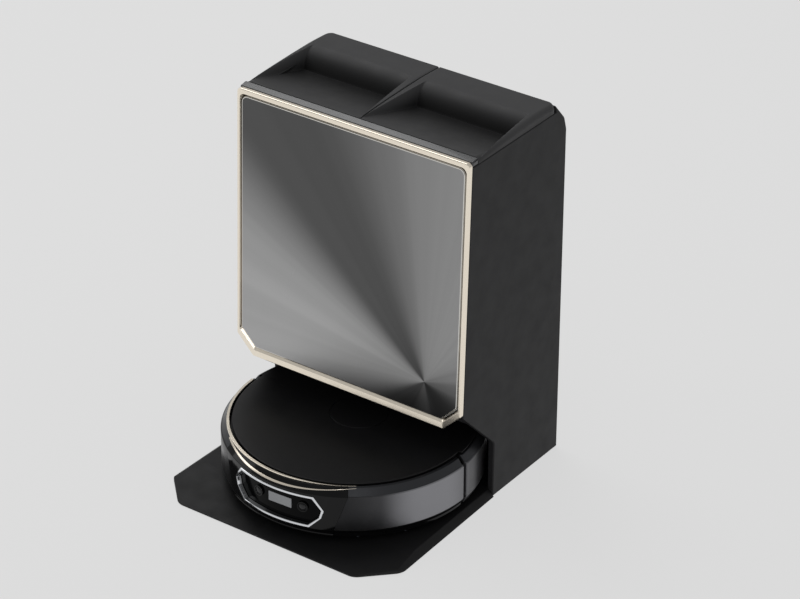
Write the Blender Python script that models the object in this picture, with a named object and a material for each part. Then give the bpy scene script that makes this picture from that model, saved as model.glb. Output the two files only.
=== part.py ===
"""Robot vacuum standing in its base station: solids, sizes, materials and joint origins.

Metres, +Z up.  The front of the station faces -Y, and +X is to the right seen from the front.
The origin is the middle of the foot of the whole object.  Each object is one piece of the real
machine.  An empty stands on each joint axis, and the pieces that move with it are its children.
"""

import math

import bmesh
import bpy
from mathutils import Matrix, Vector

# ---------------------------------------------------------------- station: driving sizes
GAP = 0.0003                    # clearance between touching pieces
DEPTH = 0.4136                  # tray front to rear cover
BACK = DEPTH / 2
FRONT = -DEPTH / 2
HALF_W = 0.183                  # half width over the side walls
TRAY_HALF_W = 0.1895            # half width of the tray at its front
HEIGHT = 0.534
GROUND = 0.001                  # underside of the station, above its rubber feet
WALL = 0.010                    # side wall thickness
SKIN = 0.004                    # rear cover thickness
INNER_X = HALF_W - WALL - 0.0005
SIDE_BACK = 0.1805              # rear edge of the lids, where the side walls rise behind them
REAR_RISE = 0.5300              # top of the side walls and the rear cover behind the lids
REAR_SLOPE = ((BACK, 0.487), (0.2015, 0.505), (0.1815, REAR_RISE))
REAR_SLOPE_INSIDE = ((SIDE_BACK + GAP, 0.5248), (0.1980, 0.5030), (BACK - SKIN, 0.4863))
SIDE_TOP = 0.5205

# leaning front: a plane through the lower edge, tilted back
FACE_LOW = Vector((0.0, -0.027, 0.138))
FACE_HEIGHT = 0.3893
LEAN = math.radians(2.06)
FRAME_DEPTH = 0.006
FRAME_SIDE = 0.006
FRAME_TOP = 0.0085
FRAME_BOTTOM = 0.0125
FRAME_CHAMFER = 0.027
FRAME_TOP_R = 0.006
PANEL_GAP = 0.0008
PANEL_THICK = 0.0048
PANEL_INSET = 0.0010            # panel face behind the frame face

# tray
LIP = 0.003
FLOOR = 0.010                   # level that the robot's wheels stand on
FLOOR_START = -0.120
TRAY_CORNER = 0.045             # legs of the cut front corners
TRAY_ROUND = 0.020
TRAY_WALL_X = 0.1845            # half width of the tray where it meets the side walls
TRAY_SLOPE = 0.0095             # width of the sloped sides
WALL_FRONT = 0.053              # where the side walls begin at the floor
BASIN = ((-0.135, 0.004), (0.135, 0.142))
BASIN_FLOOR = 0.004

# garage that the robot parks in
ROOF_LOW = 0.130
ROOF_FRONT = 0.012               # behind the diagonal edge of the side walls
ROOF_THICK = 0.006
BACK_WALL_Y = 0.178
BACK_WALL_THICK = 0.004
PLATE_BACK = BACK - SKIN - GAP  # rear edge of the roof and of the tank shelf
SHELF_LOW = 0.292
SHELF_THICK = 0.004

INLET_X = 0.120                 # middle of the power inlet

# tanks and their lids, given for the right hand side and mirrored for the left
TANK_X = (0.004, 0.1700)
TANK_Y = (0.012, 0.1725)
TANK_Z = (SHELF_LOW + SHELF_THICK + 0.0005, 0.5055)
TANK_WALL = 0.0025
LID_Y = (0.0058, SIDE_BACK)
LID_FLANGE = SIDE_TOP + GAP
LID_CORE_LOW = 0.506
LID_HINGE_Z = 0.5325
LID_ROUND = 0.007
POCKET_X = (0.0150, 0.1650)

# ---------------------------------------------------------------- robot: driving sizes
ROBOT = Vector((0.0, -0.0098, 0.0))     # axis of the round body
ROBOT_R = 0.1775
ROBOT_LOW = 0.0175              # lower edge of bumper and rear skirt
SHOULDER = 0.079                # where the upper chamfer starts
RIM_TOP = 0.0893
COVER_TOP = 0.0916
DECK_TOP = 0.084
DECK_THICK = 0.005
STEP_ANGLE = 92.8               # from the front, where the wide rear body begins
BUMPER_ANGLE = 89.5
GLOSS_ANGLE = 32.0              # half angle of the gloss front of the bumper
BODY_FRONT_R = 0.1640
BODY_WALL = 0.0045
COVER_FRONT_R = 0.1615
COVER_REAR_R = 0.1668
CHASSIS_Z = (0.0200, 0.0260)
BUMPER_INNER_R = 0.1735

WHEEL_R = 0.033
WHEEL_W = 0.022
WHEEL_X = 0.123
WHEEL_Y = -0.014
WHEEL_Z = FLOOR + GAP + WHEEL_R
WELL_X = (0.1075, 0.1385)       # opening around a drive wheel
WELL_Y = (-0.052, 0.022)
ARM_PIVOT = (-0.052, 0.050)     # y, z of the suspension pivot
CASTER = (0.0, -0.130)
CASTER_R = 0.014
CASTER_TRAIL = 0.006
ROLLER_Y = -0.062
ROLLER_Z = 0.034
ROLLER_R = 0.0215
ROLLER_HALF = 0.078
SIDE_BRUSH = (0.108, -0.104)
BRUSH_TURN = math.radians(19)   # at rest no arm of the side brush points straight out
MOP = (0.066, 0.072)
MOP_R = 0.060
MOP_HOLE_R = 0.062
MOP_LOW = FLOOR + 0.0008
BUTTON_R = 0.039
BUTTON_Y = 0.002

# ---------------------------------------------------------------- finishes (linear colour)
FINISH = {
    "satin_dark": ((0.026, 0.026, 0.029), 0.42, 0.0),
    "tray_dark": ((0.020, 0.020, 0.022), 0.55, 0.0),
    "top_satin": ((0.046, 0.047, 0.049), 0.38, 0.0),
    "strip_gloss": ((0.060, 0.062, 0.065), 0.18, 0.2),
    "champagne": ((0.720, 0.660, 0.560), 0.22, 1.0),
    "brushed_dark": ((0.210, 0.210, 0.215), 0.30, 0.9),
    "inner_plastic": ((0.030, 0.030, 0.032), 0.60, 0.0),
    "clear_tank": ((0.320, 0.350, 0.370), 0.15, 0.0),
    "smoke_tank": ((0.090, 0.095, 0.100), 0.20, 0.0),
    "bag_paper": ((0.560, 0.540, 0.490), 0.85, 0.0),
    "motor_metal": ((0.420, 0.420, 0.430), 0.35, 1.0),
    "pump_plastic": ((0.080, 0.085, 0.095), 0.45, 0.0),
    "circuit_board": ((0.020, 0.140, 0.070), 0.50, 0.0),
    "contact_metal": ((0.750, 0.620, 0.350), 0.25, 1.0),
    "rubber": ((0.015, 0.015, 0.015), 0.80, 0.0),
    "bottle": ((0.600, 0.620, 0.640), 0.35, 0.0),
    "robot_top": ((0.012, 0.012, 0.013), 0.45, 0.0),
    "robot_gloss": ((0.008, 0.008, 0.009), 0.08, 0.0),
    "robot_grey": ((0.105, 0.110, 0.118), 0.30, 0.6),
    "chrome": ((0.800, 0.810, 0.820), 0.08, 1.0),
    "dark_glass": ((0.005, 0.005, 0.006), 0.05, 0.0),
    "sensor_grey": ((0.330, 0.340, 0.350), 0.25, 0.0),
    "hub_grey": ((0.160, 0.160, 0.165), 0.50, 0.0),
    "brush_blue": ((0.120, 0.130, 0.150), 0.60, 0.0),
    "mop_fabric": ((0.300, 0.310, 0.330), 0.90, 0.0),
    "battery_wrap": ((0.040, 0.050, 0.120), 0.45, 0.0),
}


# ---------------------------------------------------------------- basic tools
def clear_scene():
    """Remove every object that the file starts with."""
    for item in list(bpy.data.objects):
        bpy.data.objects.remove(item, do_unlink=True)


def finish_material(slot):
    """Return the Principled material of a finish, making it on first use."""
    found = bpy.data.materials.get(slot)
    if found:
        return found
    colour, roughness, metallic = FINISH[slot]
    material = bpy.data.materials.new(slot)
    material.use_nodes = True
    shader = material.node_tree.nodes["Principled BSDF"]
    shader.inputs["Base Color"].default_value = (*colour, 1.0)
    shader.inputs["Roughness"].default_value = roughness
    shader.inputs["Metallic"].default_value = metallic
    material.diffuse_color = (*colour, 1.0)
    return material


def object_from(name, verts, faces, slot=None, smooth=None):
    """Make an object from points and faces, with its normals turned outward."""
    mesh = bpy.data.meshes.new(name)
    shape = bmesh.new()
    corners = [shape.verts.new(point) for point in verts]
    for face in faces:
        shape.faces.new([corners[index] for index in face])
    bmesh.ops.remove_doubles(shape, verts=shape.verts, dist=1e-7)
    bmesh.ops.recalc_face_normals(shape, faces=shape.faces)
    shape.to_mesh(mesh)
    shape.free()
    item = bpy.data.objects.new(name, mesh)
    bpy.context.scene.collection.objects.link(item)
    if slot:
        mesh.materials.append(finish_material(slot))
    if smooth:
        mesh.shade_smooth()
        mesh.set_sharp_from_angle(angle=math.radians(smooth))
    return item


def prism(name, outline, low, high, axis="z", slot=None, smooth=None):
    """Extrude a closed outline along an axis; the outline lists the other two coordinates in order."""
    place = {
        "x": lambda a, b, t: (t, a, b),
        "y": lambda a, b, t: (a, t, b),
        "z": lambda a, b, t: (a, b, t),
    }[axis]
    count = len(outline)
    verts = [place(a, b, low) for a, b in outline] + [place(a, b, high) for a, b in outline]
    faces = [tuple(range(count)), tuple(range(count, 2 * count))]
    for index in range(count):
        after = (index + 1) % count
        faces.append((index, after, count + after, count + index))
    return object_from(name, verts, faces, slot, smooth)


def block(name, low, high, slot=None):
    """A box from its low corner to its high corner."""
    outline = [(low[0], low[1]), (high[0], low[1]), (high[0], high[1]), (low[0], high[1])]
    return prism(name, outline, low[2], high[2], "z", slot)


def circle(radius, centre=(0.0, 0.0), count=48):
    """Points of a circle."""
    step = 2 * math.pi / count
    return [(centre[0] + radius * math.cos(step * i), centre[1] + radius * math.sin(step * i))
            for i in range(count)]


def disc(name, radius, centre, low, high, slot=None, axis="z", count=48):
    """A plain cylinder."""
    return prism(name, circle(radius, centre, count), low, high, axis, slot, 40)


def filleted(points, segments=6):
    """Round the corners of an outline whose points are (a, b, radius)."""
    result = []
    count = len(points)
    for index in range(count):
        a, b, radius = points[index]
        here = Vector((a, b))
        if radius <= 0:
            result.append((a, b))
            continue
        before = (Vector(points[index - 1][:2]) - here).normalized()
        after = (Vector(points[(index + 1) % count][:2]) - here).normalized()
        half = before.angle(after) / 2
        reach = radius / math.tan(half)
        centre = here + (before + after).normalized() * (radius / math.sin(half))
        start = here + before * reach - centre
        turn = start.angle_signed(here + after * reach - centre)
        for step in range(segments + 1):
            angle = -turn * step / segments
            arm = Matrix.Rotation(angle, 2) @ start
            result.append((centre.x + arm.x, centre.y + arm.y))
    return result


def turned(name, profile, centre, slot=None, count=48, start=0.0, stop=360.0, smooth=35):
    """Turn a closed (radius, z) profile about a vertical axis, fully or over an arc from the front."""
    full = stop - start >= 360.0
    rings = count if full else count + 1
    verts = []
    for step in range(rings):
        angle = math.radians(start + (stop - start) * step / count)
        for radius, z in profile:
            verts.append((centre[0] + radius * math.sin(angle), centre[1] - radius * math.cos(angle), z))
    size = len(profile)
    faces = []
    for step in range(count):
        near = step * size
        far = ((step + 1) % rings) * size
        for index in range(size):
            after = (index + 1) % size
            faces.append((near + index, near + after, far + after, far + index))
    if not full:
        faces.append(tuple(range(size)))
        faces.append(tuple(range(count * size, (count + 1) * size)))
    return object_from(name, verts, faces, slot, smooth)


def boolean(item, tool, operation):
    """Apply a tool shape to an item with an exact Boolean, and hide the tool."""
    modifier = item.modifiers.new(operation.lower(), "BOOLEAN")
    modifier.operation = operation
    modifier.solver = "EXACT"
    modifier.object = tool
    tool.hide_render = True
    tool.display_type = "WIRE"
    return item


def cut(item, tool):
    """Take the tool's shape away from the item."""
    return boolean(item, tool, "DIFFERENCE")


def add(item, tool):
    """Fuse the tool's shape to the item."""
    return boolean(item, tool, "UNION")


def bevel(item, width, segments=2, limit=40.0):
    """Round the item's sharp edges."""
    modifier = item.modifiers.new("edge_round", "BEVEL")
    modifier.width = width
    modifier.segments = segments
    modifier.limit_method = "ANGLE"
    modifier.angle_limit = math.radians(limit)
    modifier.use_clamp_overlap = True
    return item


def mirrored_x(outline_x):
    """Return a low and high x pair mirrored to the other side."""
    return -outline_x[1], -outline_x[0]


def span(side, pair):
    """Return the pair for the right hand side (+1) or mirrored for the left (-1)."""
    return pair if side > 0 else mirrored_x(pair)


def body_empty(name, point):
    """An empty on a joint axis, which carries the pieces of one moving body."""
    empty = bpy.data.objects.new(name, None)
    bpy.context.scene.collection.objects.link(empty)
    empty.location = point
    empty.empty_display_size = 0.02
    return empty


def carry(empty, items):
    """Parent items to an empty without moving them."""
    for item in items:
        item.parent = empty
        item.matrix_parent_inverse = Matrix.Translation(-empty.location)


def set_origin(item, point):
    """Move an item's origin to a point and leave its shape where it is."""
    point = Vector(point)
    item.data.transform(Matrix.Translation(-point))
    item.location = point
    return item


# ---------------------------------------------------------------- outlines
def face_y(z, behind=0.0):
    """y of the leaning front at a height, or of a plane this far behind it."""
    return FACE_LOW.y + (z - FACE_LOW.z) * math.tan(LEAN) + behind / math.cos(LEAN)


def two_radius(front_r, rear_r, split, count=64):
    """Plan of the robot: one radius over the front arc, another over the rear arc."""
    points = []
    front_steps = count // 2
    for step in range(front_steps + 1):
        angle = math.radians(-split + 2 * split * step / front_steps)
        points.append((ROBOT.x + front_r * math.sin(angle), ROBOT.y - front_r * math.cos(angle)))
    rear_steps = count - front_steps
    for step in range(rear_steps + 1):
        angle = math.radians(split + (360 - 2 * split) * step / rear_steps)
        points.append((ROBOT.x + rear_r * math.sin(angle), ROBOT.y - rear_r * math.cos(angle)))
    return points


def sector(radius, half_angle, count=24):
    """Plan of a slice of the robot, centred on its front."""
    points = [(ROBOT.x, ROBOT.y)]
    for step in range(count + 1):
        angle = math.radians(-half_angle + 2 * half_angle * step / count)
        points.append((ROBOT.x + radius * math.sin(angle), ROBOT.y - radius * math.cos(angle)))
    return points


def face_outline(side, bottom, top, chamfer, radius):
    """Outline of the leaning front, drawn in its own plane, inset by the given margins."""
    x = HALF_W - side
    high = FACE_HEIGHT - top
    return filleted([(-x, bottom + chamfer, 0), (-x + chamfer, bottom, 0), (x - chamfer, bottom, 0),
                     (x, bottom + chamfer, 0), (x, high, radius), (-x, high, radius)], 5)


def lean_back(item):
    """Tilt an item drawn upright at the origin onto the leaning front."""
    item.data.transform(Matrix.Translation(FACE_LOW) @ Matrix.Rotation(-LEAN, 4, "X"))
    return item


# ---------------------------------------------------------------- station shell
def build_tray():
    """Ramped tray with sloped sides and a wash basin."""
    half = TRAY_HALF_W
    rear = BACK - SKIN - 0.031
    plan = filleted([(-half + TRAY_CORNER, FRONT, TRAY_ROUND), (half - TRAY_CORNER, FRONT, TRAY_ROUND),
                     (half, FRONT + TRAY_CORNER, TRAY_ROUND), (TRAY_WALL_X, WALL_FRONT - GAP, 0),
                     (INNER_X, WALL_FRONT - GAP, 0), (INNER_X, rear, 0), (-INNER_X, rear, 0),
                     (-INNER_X, WALL_FRONT - GAP, 0), (-TRAY_WALL_X, WALL_FRONT - GAP, 0),
                     (-half, FRONT + TRAY_CORNER, TRAY_ROUND)], 5)
    tray = prism("base_tray", plan, GROUND, FLOOR, "z", "tray_dark")
    air = prism("tray_air", [(FRONT - 0.01, LIP), (FLOOR_START, FLOOR), (FLOOR_START, 0.05), (FRONT - 0.01, 0.05)],
                -0.2, 0.2, "x")
    cut(tray, air)
    taper = math.atan2(half - TRAY_WALL_X, WALL_FRONT - FRONT - TRAY_CORNER)
    for side in (-1, 1):
        slope = prism("side_slope", [(side * 0.001, 0.0015), (-side * TRAY_SLOPE, FLOOR + 0.001),
                                     (-side * TRAY_SLOPE, 0.05), (side * 0.05, 0.05), (side * 0.05, 0.0015)],
                      -0.1, WALL_FRONT - FRONT - TRAY_CORNER - GAP, "y")
        slope.data.transform(Matrix.Rotation(side * taper, 4, "Z"))
        slope.data.transform(Matrix.Translation((side * half, FRONT + TRAY_CORNER, 0.0)))
        cut(tray, slope)
    basin = block("basin_cut", (BASIN[0][0], BASIN[0][1], BASIN_FLOOR), (BASIN[1][0], BASIN[1][1], 0.02))
    cut(tray, basin)
    return tray


def build_side_wall(side):
    """Flat side wall with its diagonal cut over the robot."""
    name = "side_wall_right" if side > 0 else "side_wall_left"
    behind = FRAME_DEPTH + GAP
    outline = [(WALL_FRONT, GROUND), (WALL_FRONT, 0.086), (face_y(0.160, behind), 0.160),
               (face_y(REAR_RISE, behind), REAR_RISE), *reversed(REAR_SLOPE), (BACK, GROUND)]
    low, high = span(side, (HALF_W - WALL, HALF_W))
    wall = bevel(prism(name, outline, low, high, "x", "satin_dark"), 0.0012)
    cut(wall, block("lid_room", (-0.2, -0.1, SIDE_TOP), (0.2, SIDE_BACK + GAP, HEIGHT)))
    return wall


def build_rear_cover():
    """Rear cover: a plate bent over the top edge, with the hole for the inlet."""
    x = HALF_W - WALL - GAP
    outline = [(BACK, GROUND), *REAR_SLOPE, (SIDE_BACK + GAP, REAR_RISE), *REAR_SLOPE_INSIDE, (BACK - SKIN, GROUND)]
    cover = prism("rear_cover", outline, -x, x, "x", "satin_dark")
    window = block("inlet_window", (INLET_X - 0.0143, 0.19, 0.0247), (INLET_X + 0.0143, 0.22, 0.0453))
    cut(cover, window)
    return cover


def build_front_frame():
    """Metal frame around the front panel."""
    outer = face_outline(0, 0, 0, FRAME_CHAMFER, FRAME_TOP_R)
    inner = face_outline(FRAME_SIDE, FRAME_BOTTOM, FRAME_TOP, FRAME_CHAMFER - 0.003, 0.010)
    frame = prism("front_frame", outer, 0.0, FRAME_DEPTH, "y", "champagne")
    hole = prism("frame_hole", inner, -0.01, FRAME_DEPTH + 0.01, "y")
    lean_back(frame)
    lean_back(hole)
    cut(frame, hole)
    return bevel(frame, 0.0010, 1)


def build_front_panel():
    """Brushed front panel, a door with its hinge axis along its left front edge."""
    side = FRAME_SIDE + PANEL_GAP
    outline = face_outline(side, FRAME_BOTTOM + PANEL_GAP, FRAME_TOP + PANEL_GAP, FRAME_CHAMFER - 0.0033, 0.0092)
    panel = prism("front_panel", outline, PANEL_INSET, PANEL_INSET + PANEL_THICK, "y", "brushed_dark")
    lean_back(panel)
    set_origin(panel, panel_axis_point())
    return bevel(panel, 0.0008, 1)


def panel_axis_point():
    """A point on the front panel's hinge axis, half way up."""
    z = FACE_LOW.z + FACE_HEIGHT * math.cos(LEAN) / 2
    return Vector((-(HALF_W - FRAME_SIDE - PANEL_GAP), face_y(z, PANEL_INSET), z))


def build_top_strip():
    """Gloss strip along the top, behind the frame."""
    front = face_y(SIDE_TOP + 0.004, FRAME_DEPTH + GAP)
    strip = prism("top_trim_strip", [(front, SIDE_TOP + GAP), (LID_Y[0] - GAP, SIDE_TOP + GAP),
                                     (LID_Y[0] - GAP, 0.5290), (front + 0.0006, 0.5274)],
                  -HALF_W, HALF_W, "x", "strip_gloss")
    return bevel(strip, 0.0012)


def build_garage():
    """Roof and back wall of the space that the robot parks in, and the shelf under the tanks."""
    roof = block("garage_roof", (-INNER_X, ROOF_FRONT, ROOF_LOW),
                 (INNER_X, PLATE_BACK, ROOF_LOW + ROOF_THICK), "inner_plastic")
    wall = block("garage_back_wall", (-INNER_X, BACK_WALL_Y, FLOOR + 0.0005),
                 (INNER_X, BACK_WALL_Y + BACK_WALL_THICK, ROOF_LOW - GAP), "inner_plastic")
    shelf = block("tank_shelf", (-INNER_X, -0.008, SHELF_LOW), (INNER_X, PLATE_BACK, SHELF_LOW + SHELF_THICK),
                  "inner_plastic")
    return roof, wall, shelf


# ---------------------------------------------------------------- tanks
def build_tank(side, name, slot):
    """Open water tank."""
    x = span(side, TANK_X)
    tank = block(name, (x[0], TANK_Y[0], TANK_Z[0]), (x[1], TANK_Y[1], TANK_Z[1]), slot)
    hollow = block(name + "_hollow", (x[0] + TANK_WALL, TANK_Y[0] + TANK_WALL, TANK_Z[0] + TANK_WALL),
                   (x[1] - TANK_WALL, TANK_Y[1] - TANK_WALL, TANK_Z[1] + 0.01))
    return cut(tank, hollow)


def lid_top_outline():
    """Side view of a lid's flange."""
    return [(LID_Y[0], LID_FLANGE), (LID_Y[0], 0.5290), (0.060, 0.5318), (0.140, HEIGHT),
            (LID_Y[1], LID_HINGE_Z), (LID_Y[1], LID_FLANGE)]


def pocket_outline():
    """Side view of the finger pocket: a sloping floor and a back wall that rises in a soft curve."""
    floor = [(LID_Y[0] + 0.0020, 0.5310), (0.099, 0.5125)]
    foot = filleted([(0.08, 0.5158, 0), (0.104, 0.5118, 0.004), (0.124, 0.5300, 0)], 3)[1:-1]
    lip = [(0.1235, 0.5285), (0.1290, 0.5318), (0.1375, 0.5338)]
    return [floor[0]] + foot + lip + [(0.1400, 0.5500), (LID_Y[0] + 0.0020, 0.5500)]


def build_lid(side, name):
    """Tank lid with a finger pocket, hinged along its top rear edge."""
    x = span(side, (0.0008, HALF_W))
    lid = prism(name, lid_top_outline(), x[0], x[1], "x", "top_satin")
    core_x = span(side, (0.0060, 0.1685))
    core = block(name + "_core", (core_x[0], 0.0140, LID_CORE_LOW), (core_x[1], 0.1705, LID_FLANGE + 0.001))
    add(lid, core)
    pocket_x = span(side, POCKET_X)
    cut(lid, prism(name + "_pocket", pocket_outline(), pocket_x[0], pocket_x[1], "x"))
    corner = [(side * (HALF_W + 0.01), HEIGHT + 0.01), (side * (HALF_W + 0.01), HEIGHT - LID_ROUND)]
    for step in range(7):
        angle = math.pi / 2 * step / 6
        corner.append((side * (HALF_W - LID_ROUND + LID_ROUND * math.cos(angle)),
                       HEIGHT - LID_ROUND + LID_ROUND * math.sin(angle)))
    corner.append((side * (HALF_W - LID_ROUND), HEIGHT + 0.01))
    cut(lid, prism(name + "_round", corner, -0.01, 0.2, "y"))
    return lid


# ---------------------------------------------------------------- station inner pieces

def build_station_insides():
    """Pieces inside the station: bag, blower, pump, board, fan, bottle, contacts, inlet, wash board."""
    bag = bevel(block("dust_bag", (-0.160, 0.006, 0.1385), (-0.012, 0.116, 0.282), "bag_paper"), 0.014, 3)
    motor = disc("suction_motor", 0.050, (0.095, 0.118), 0.1370, 0.2450, "motor_metal")
    pump = disc("water_pump", 0.020, (0.155, 0.160), -0.120, -0.050, "pump_plastic", "x", 32)
    board = block("control_board", (-0.110, 0.1880, 0.150), (0.110, 0.1900, 0.280), "circuit_board")
    fan = build_dryer_fan()
    bottle = build_bottle()
    housing = build_contact_housing()
    inlet = build_inlet()
    wash = build_wash_board()
    return [bag, motor, pump, board, fan, bottle, housing, inlet, wash]


def build_dryer_fan():
    """Flat blower that dries the mops, behind the garage wall."""
    fan = disc("dryer_fan", 0.030, (0.0, 0.085), 0.1830, 0.1975, "pump_plastic", "y", 40)
    eye = disc("fan_eye", 0.014, (0.0, 0.085), 0.1880, 0.2050, None, "y", 32)
    return cut(fan, eye)


def build_bottle():
    """Detergent bottle with its cap, behind the front panel."""
    bottle = bevel(block("detergent_bottle", (0.030, -0.004, 0.1370), (0.160, 0.050, 0.262), "bottle"), 0.006, 2)
    neck = disc("bottle_neck", 0.013, (0.060, 0.023), 0.2500, 0.2820, None, "z", 32)
    return add(bottle, neck)


def build_contact_housing():
    """Housing of the charging contacts, with a window for each."""
    housing = block("contact_housing", (-0.045, 0.1695, 0.034), (0.045, BACK_WALL_Y - GAP, 0.056), "inner_plastic")
    for side in (-1, 1):
        x = span(side, (0.0195, 0.0305))
        cut(housing, block("contact_window", (x[0], 0.16, 0.0385), (x[1], 0.20, 0.0515)))
    return housing


def build_charging_pin(side):
    """Sprung charging contact."""
    name = "charging_pin_right" if side > 0 else "charging_pin_left"
    x = span(side, (0.0200, 0.0300))
    pin = block(name, (x[0], 0.1664, 0.0390), (x[1], 0.1750, 0.0510), "contact_metal")
    set_origin(pin, (side * 0.025, 0.1707, 0.045))
    return bevel(pin, 0.0010, 1)


def build_inlet():
    """Power inlet, flush with the rear cover, with an open socket."""
    inlet = block("power_inlet", (INLET_X - 0.014, 0.1860, 0.025), (INLET_X + 0.014, BACK, 0.045), "inner_plastic")
    return cut(inlet, block("inlet_socket", (INLET_X - 0.010, 0.1900, 0.029), (INLET_X + 0.010, 0.22, 0.041)))


def build_wash_board():
    """Ribbed plate in the basin that scrubs the mops."""
    low, high = BASIN
    board = block("wash_board", (low[0] + 0.0005, low[1] + 0.0005, BASIN_FLOOR + GAP),
                  (high[0] - 0.0005, high[1] - 0.0005, 0.0068), "inner_plastic")
    ribs = 12
    pitch = (high[0] - low[0]) / ribs
    for index in range(ribs):
        x = low[0] + pitch * (index + 0.5)
        add(board, block("wash_rib", (x - 0.002, low[1] + 0.010, 0.0060), (x + 0.002, high[1] - 0.010, 0.0098)))
    return board


def build_feet():
    """Rubber strips under the tray."""
    feet = []
    for name, y in (("foot_front", -0.150), ("foot_rear", 0.150)):
        plan = filleted([(-0.130, y - 0.010, 0.009), (0.130, y - 0.010, 0.009),
                         (0.130, y + 0.010, 0.009), (-0.130, y + 0.010, 0.009)], 4)
        feet.append(prism(name, plan, 0.0, GROUND - GAP, "z", "rubber"))
    return feet


# ---------------------------------------------------------------- robot shell
def build_chassis():
    """Floor plate of the robot, open for wheels, brushes, caster and mops."""
    plate = prism("robot_chassis", two_radius(0.1695, 0.1724, 97.5), *CHASSIS_Z, "z", "inner_plastic", 40)
    for side in (-1, 1):
        x = span(side, WELL_X)
        cut(plate, block("wheel_well", (x[0], WELL_Y[0], 0.0), (x[1], WELL_Y[1], 0.05)))
        cut(plate, disc("mop_hole", MOP_HOLE_R, (side * MOP[0], MOP[1]), 0.0, 0.05, count=40))
    slot = ROLLER_HALF + 0.004
    cut(plate, block("roller_slot", (-slot, ROLLER_Y - 0.026, 0.0), (slot, ROLLER_Y + 0.026, 0.05)))
    cut(plate, disc("caster_hole", 0.027, CASTER, 0.0, 0.05, count=40))
    cut(plate, disc("side_brush_hole", 0.014, SIDE_BRUSH, 0.0, 0.05, count=24))
    return plate


def build_robot_body():
    """Round body wall with its deck, wide at the rear, and the opening over the dust bin."""
    body = prism("robot_body", two_radius(BODY_FRONT_R, ROBOT_R, STEP_ANGLE), ROBOT_LOW, RIM_TOP, "z",
                 "robot_grey", 40)
    hollow = prism("body_hollow", two_radius(BODY_FRONT_R - BODY_WALL, 0.1728, 96.0), 0.0,
                   DECK_TOP - DECK_THICK, "z")
    cut(body, hollow)
    cut(body, prism("front_skirt", sector(0.2, 96.0), 0.0, CHASSIS_Z[1] + GAP, "z"))
    cut(body, prism("cover_seat", two_radius(0.2, COVER_REAR_R + 0.0007, STEP_ANGLE + 1.6), DECK_TOP, 0.12, "z"))
    chamfer = turned("body_chamfer", [(0.18, SHOULDER - 0.0025), (0.18, 0.095), (0.163, 0.095),
                                      (0.1684, RIM_TOP)], ROBOT, count=64)
    cut(body, chamfer)
    cut(body, block("bin_opening", (-0.064, 0.036, 0.07), (0.064, 0.100, 0.12)))
    for side in (-1, 1):
        x = span(side, WELL_X)
        cut(body, block("wheel_room", (x[0], WELL_Y[0], 0.07), (x[1], WELL_Y[1], DECK_TOP - 0.0015)))
    return body


def build_top_cover():
    """Round top cover that lifts off, with a seat for the round button."""
    cover = prism("robot_top_cover", two_radius(COVER_FRONT_R, COVER_REAR_R, STEP_ANGLE + 2.4), DECK_TOP + GAP,
                  COVER_TOP, "z", "robot_top", 40)
    seat = disc("button_seat", BUTTON_R + 0.0006, (0.0, BUTTON_Y), 0.0878, 0.12, count=48)
    return cut(cover, seat)


def build_button():
    """Round button in the top cover."""
    button = disc("control_button", BUTTON_R, (0.0, BUTTON_Y), 0.0895, COVER_TOP, "robot_top", count=48)
    return set_origin(button, (0.0, BUTTON_Y, 0.090))


def bumper_profile():
    """Upright section of the bumper as (radius, z)."""
    return [(BUMPER_INNER_R, ROBOT_LOW), (0.1762, ROBOT_LOW), (ROBOT_R, ROBOT_LOW + 0.004),
            (ROBOT_R, SHOULDER), (0.1690, RIM_TOP - 0.0006), (0.1655, RIM_TOP), (0.1655, RIM_TOP - 0.0016),
            (0.1735, SHOULDER - 0.001)]


def build_bumper():
    """Bumper in three pieces: gloss front and two satin sides."""
    pieces = []
    seam = 0.1
    spans = (("bumper_side_left", -BUMPER_ANGLE, -GLOSS_ANGLE - seam, "robot_grey"),
             ("bumper_front", -GLOSS_ANGLE, GLOSS_ANGLE, "robot_gloss"),
             ("bumper_side_right", GLOSS_ANGLE + seam, BUMPER_ANGLE, "robot_grey"))
    for name, start, stop, slot in spans:
        pieces.append(turned(name, bumper_profile(), ROBOT, slot, 16, start, stop, 30))
    trim = [(0.1657, RIM_TOP + GAP), (0.1684, RIM_TOP + GAP), (0.1680, RIM_TOP + 0.0016), (0.1660, RIM_TOP + 0.0016)]
    pieces.append(turned("trim_arc", trim, ROBOT, "champagne", 36, -BUMPER_ANGLE, 34.0, 30))
    return pieces


def wrapped_point(angle, radius, z):
    """A point on an upright cylinder about the robot's axis."""
    turn = math.radians(angle)
    return ROBOT.x + radius * math.sin(turn), ROBOT.y - radius * math.cos(turn), z


def bezel_outline(margin, steps=4):
    """Elongated eight-sided outline on the bumper's front as (angle, z), with evenly divided edges."""
    side = math.degrees(margin / ROBOT_R)
    corners = [(-17.5 + side * 0.5, 0.0275 + margin), (17.5 - side * 0.5, 0.0275 + margin),
               (23.0 - side, 0.0450), (24.0 - side, 0.0560), (19.5 - side * 0.7, 0.0760 - margin),
               (-19.5 + side * 0.7, 0.0760 - margin), (-24.0 + side, 0.0560), (-23.0 + side, 0.0450)]
    points = []
    for index, corner in enumerate(corners):
        after = corners[(index + 1) % len(corners)]
        pieces = steps * 3 if abs(after[0] - corner[0]) > 20 else 1
        for step in range(pieces):
            mix = step / pieces
            points.append((corner[0] + (after[0] - corner[0]) * mix, corner[1] + (after[1] - corner[1]) * mix))
    return points


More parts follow.
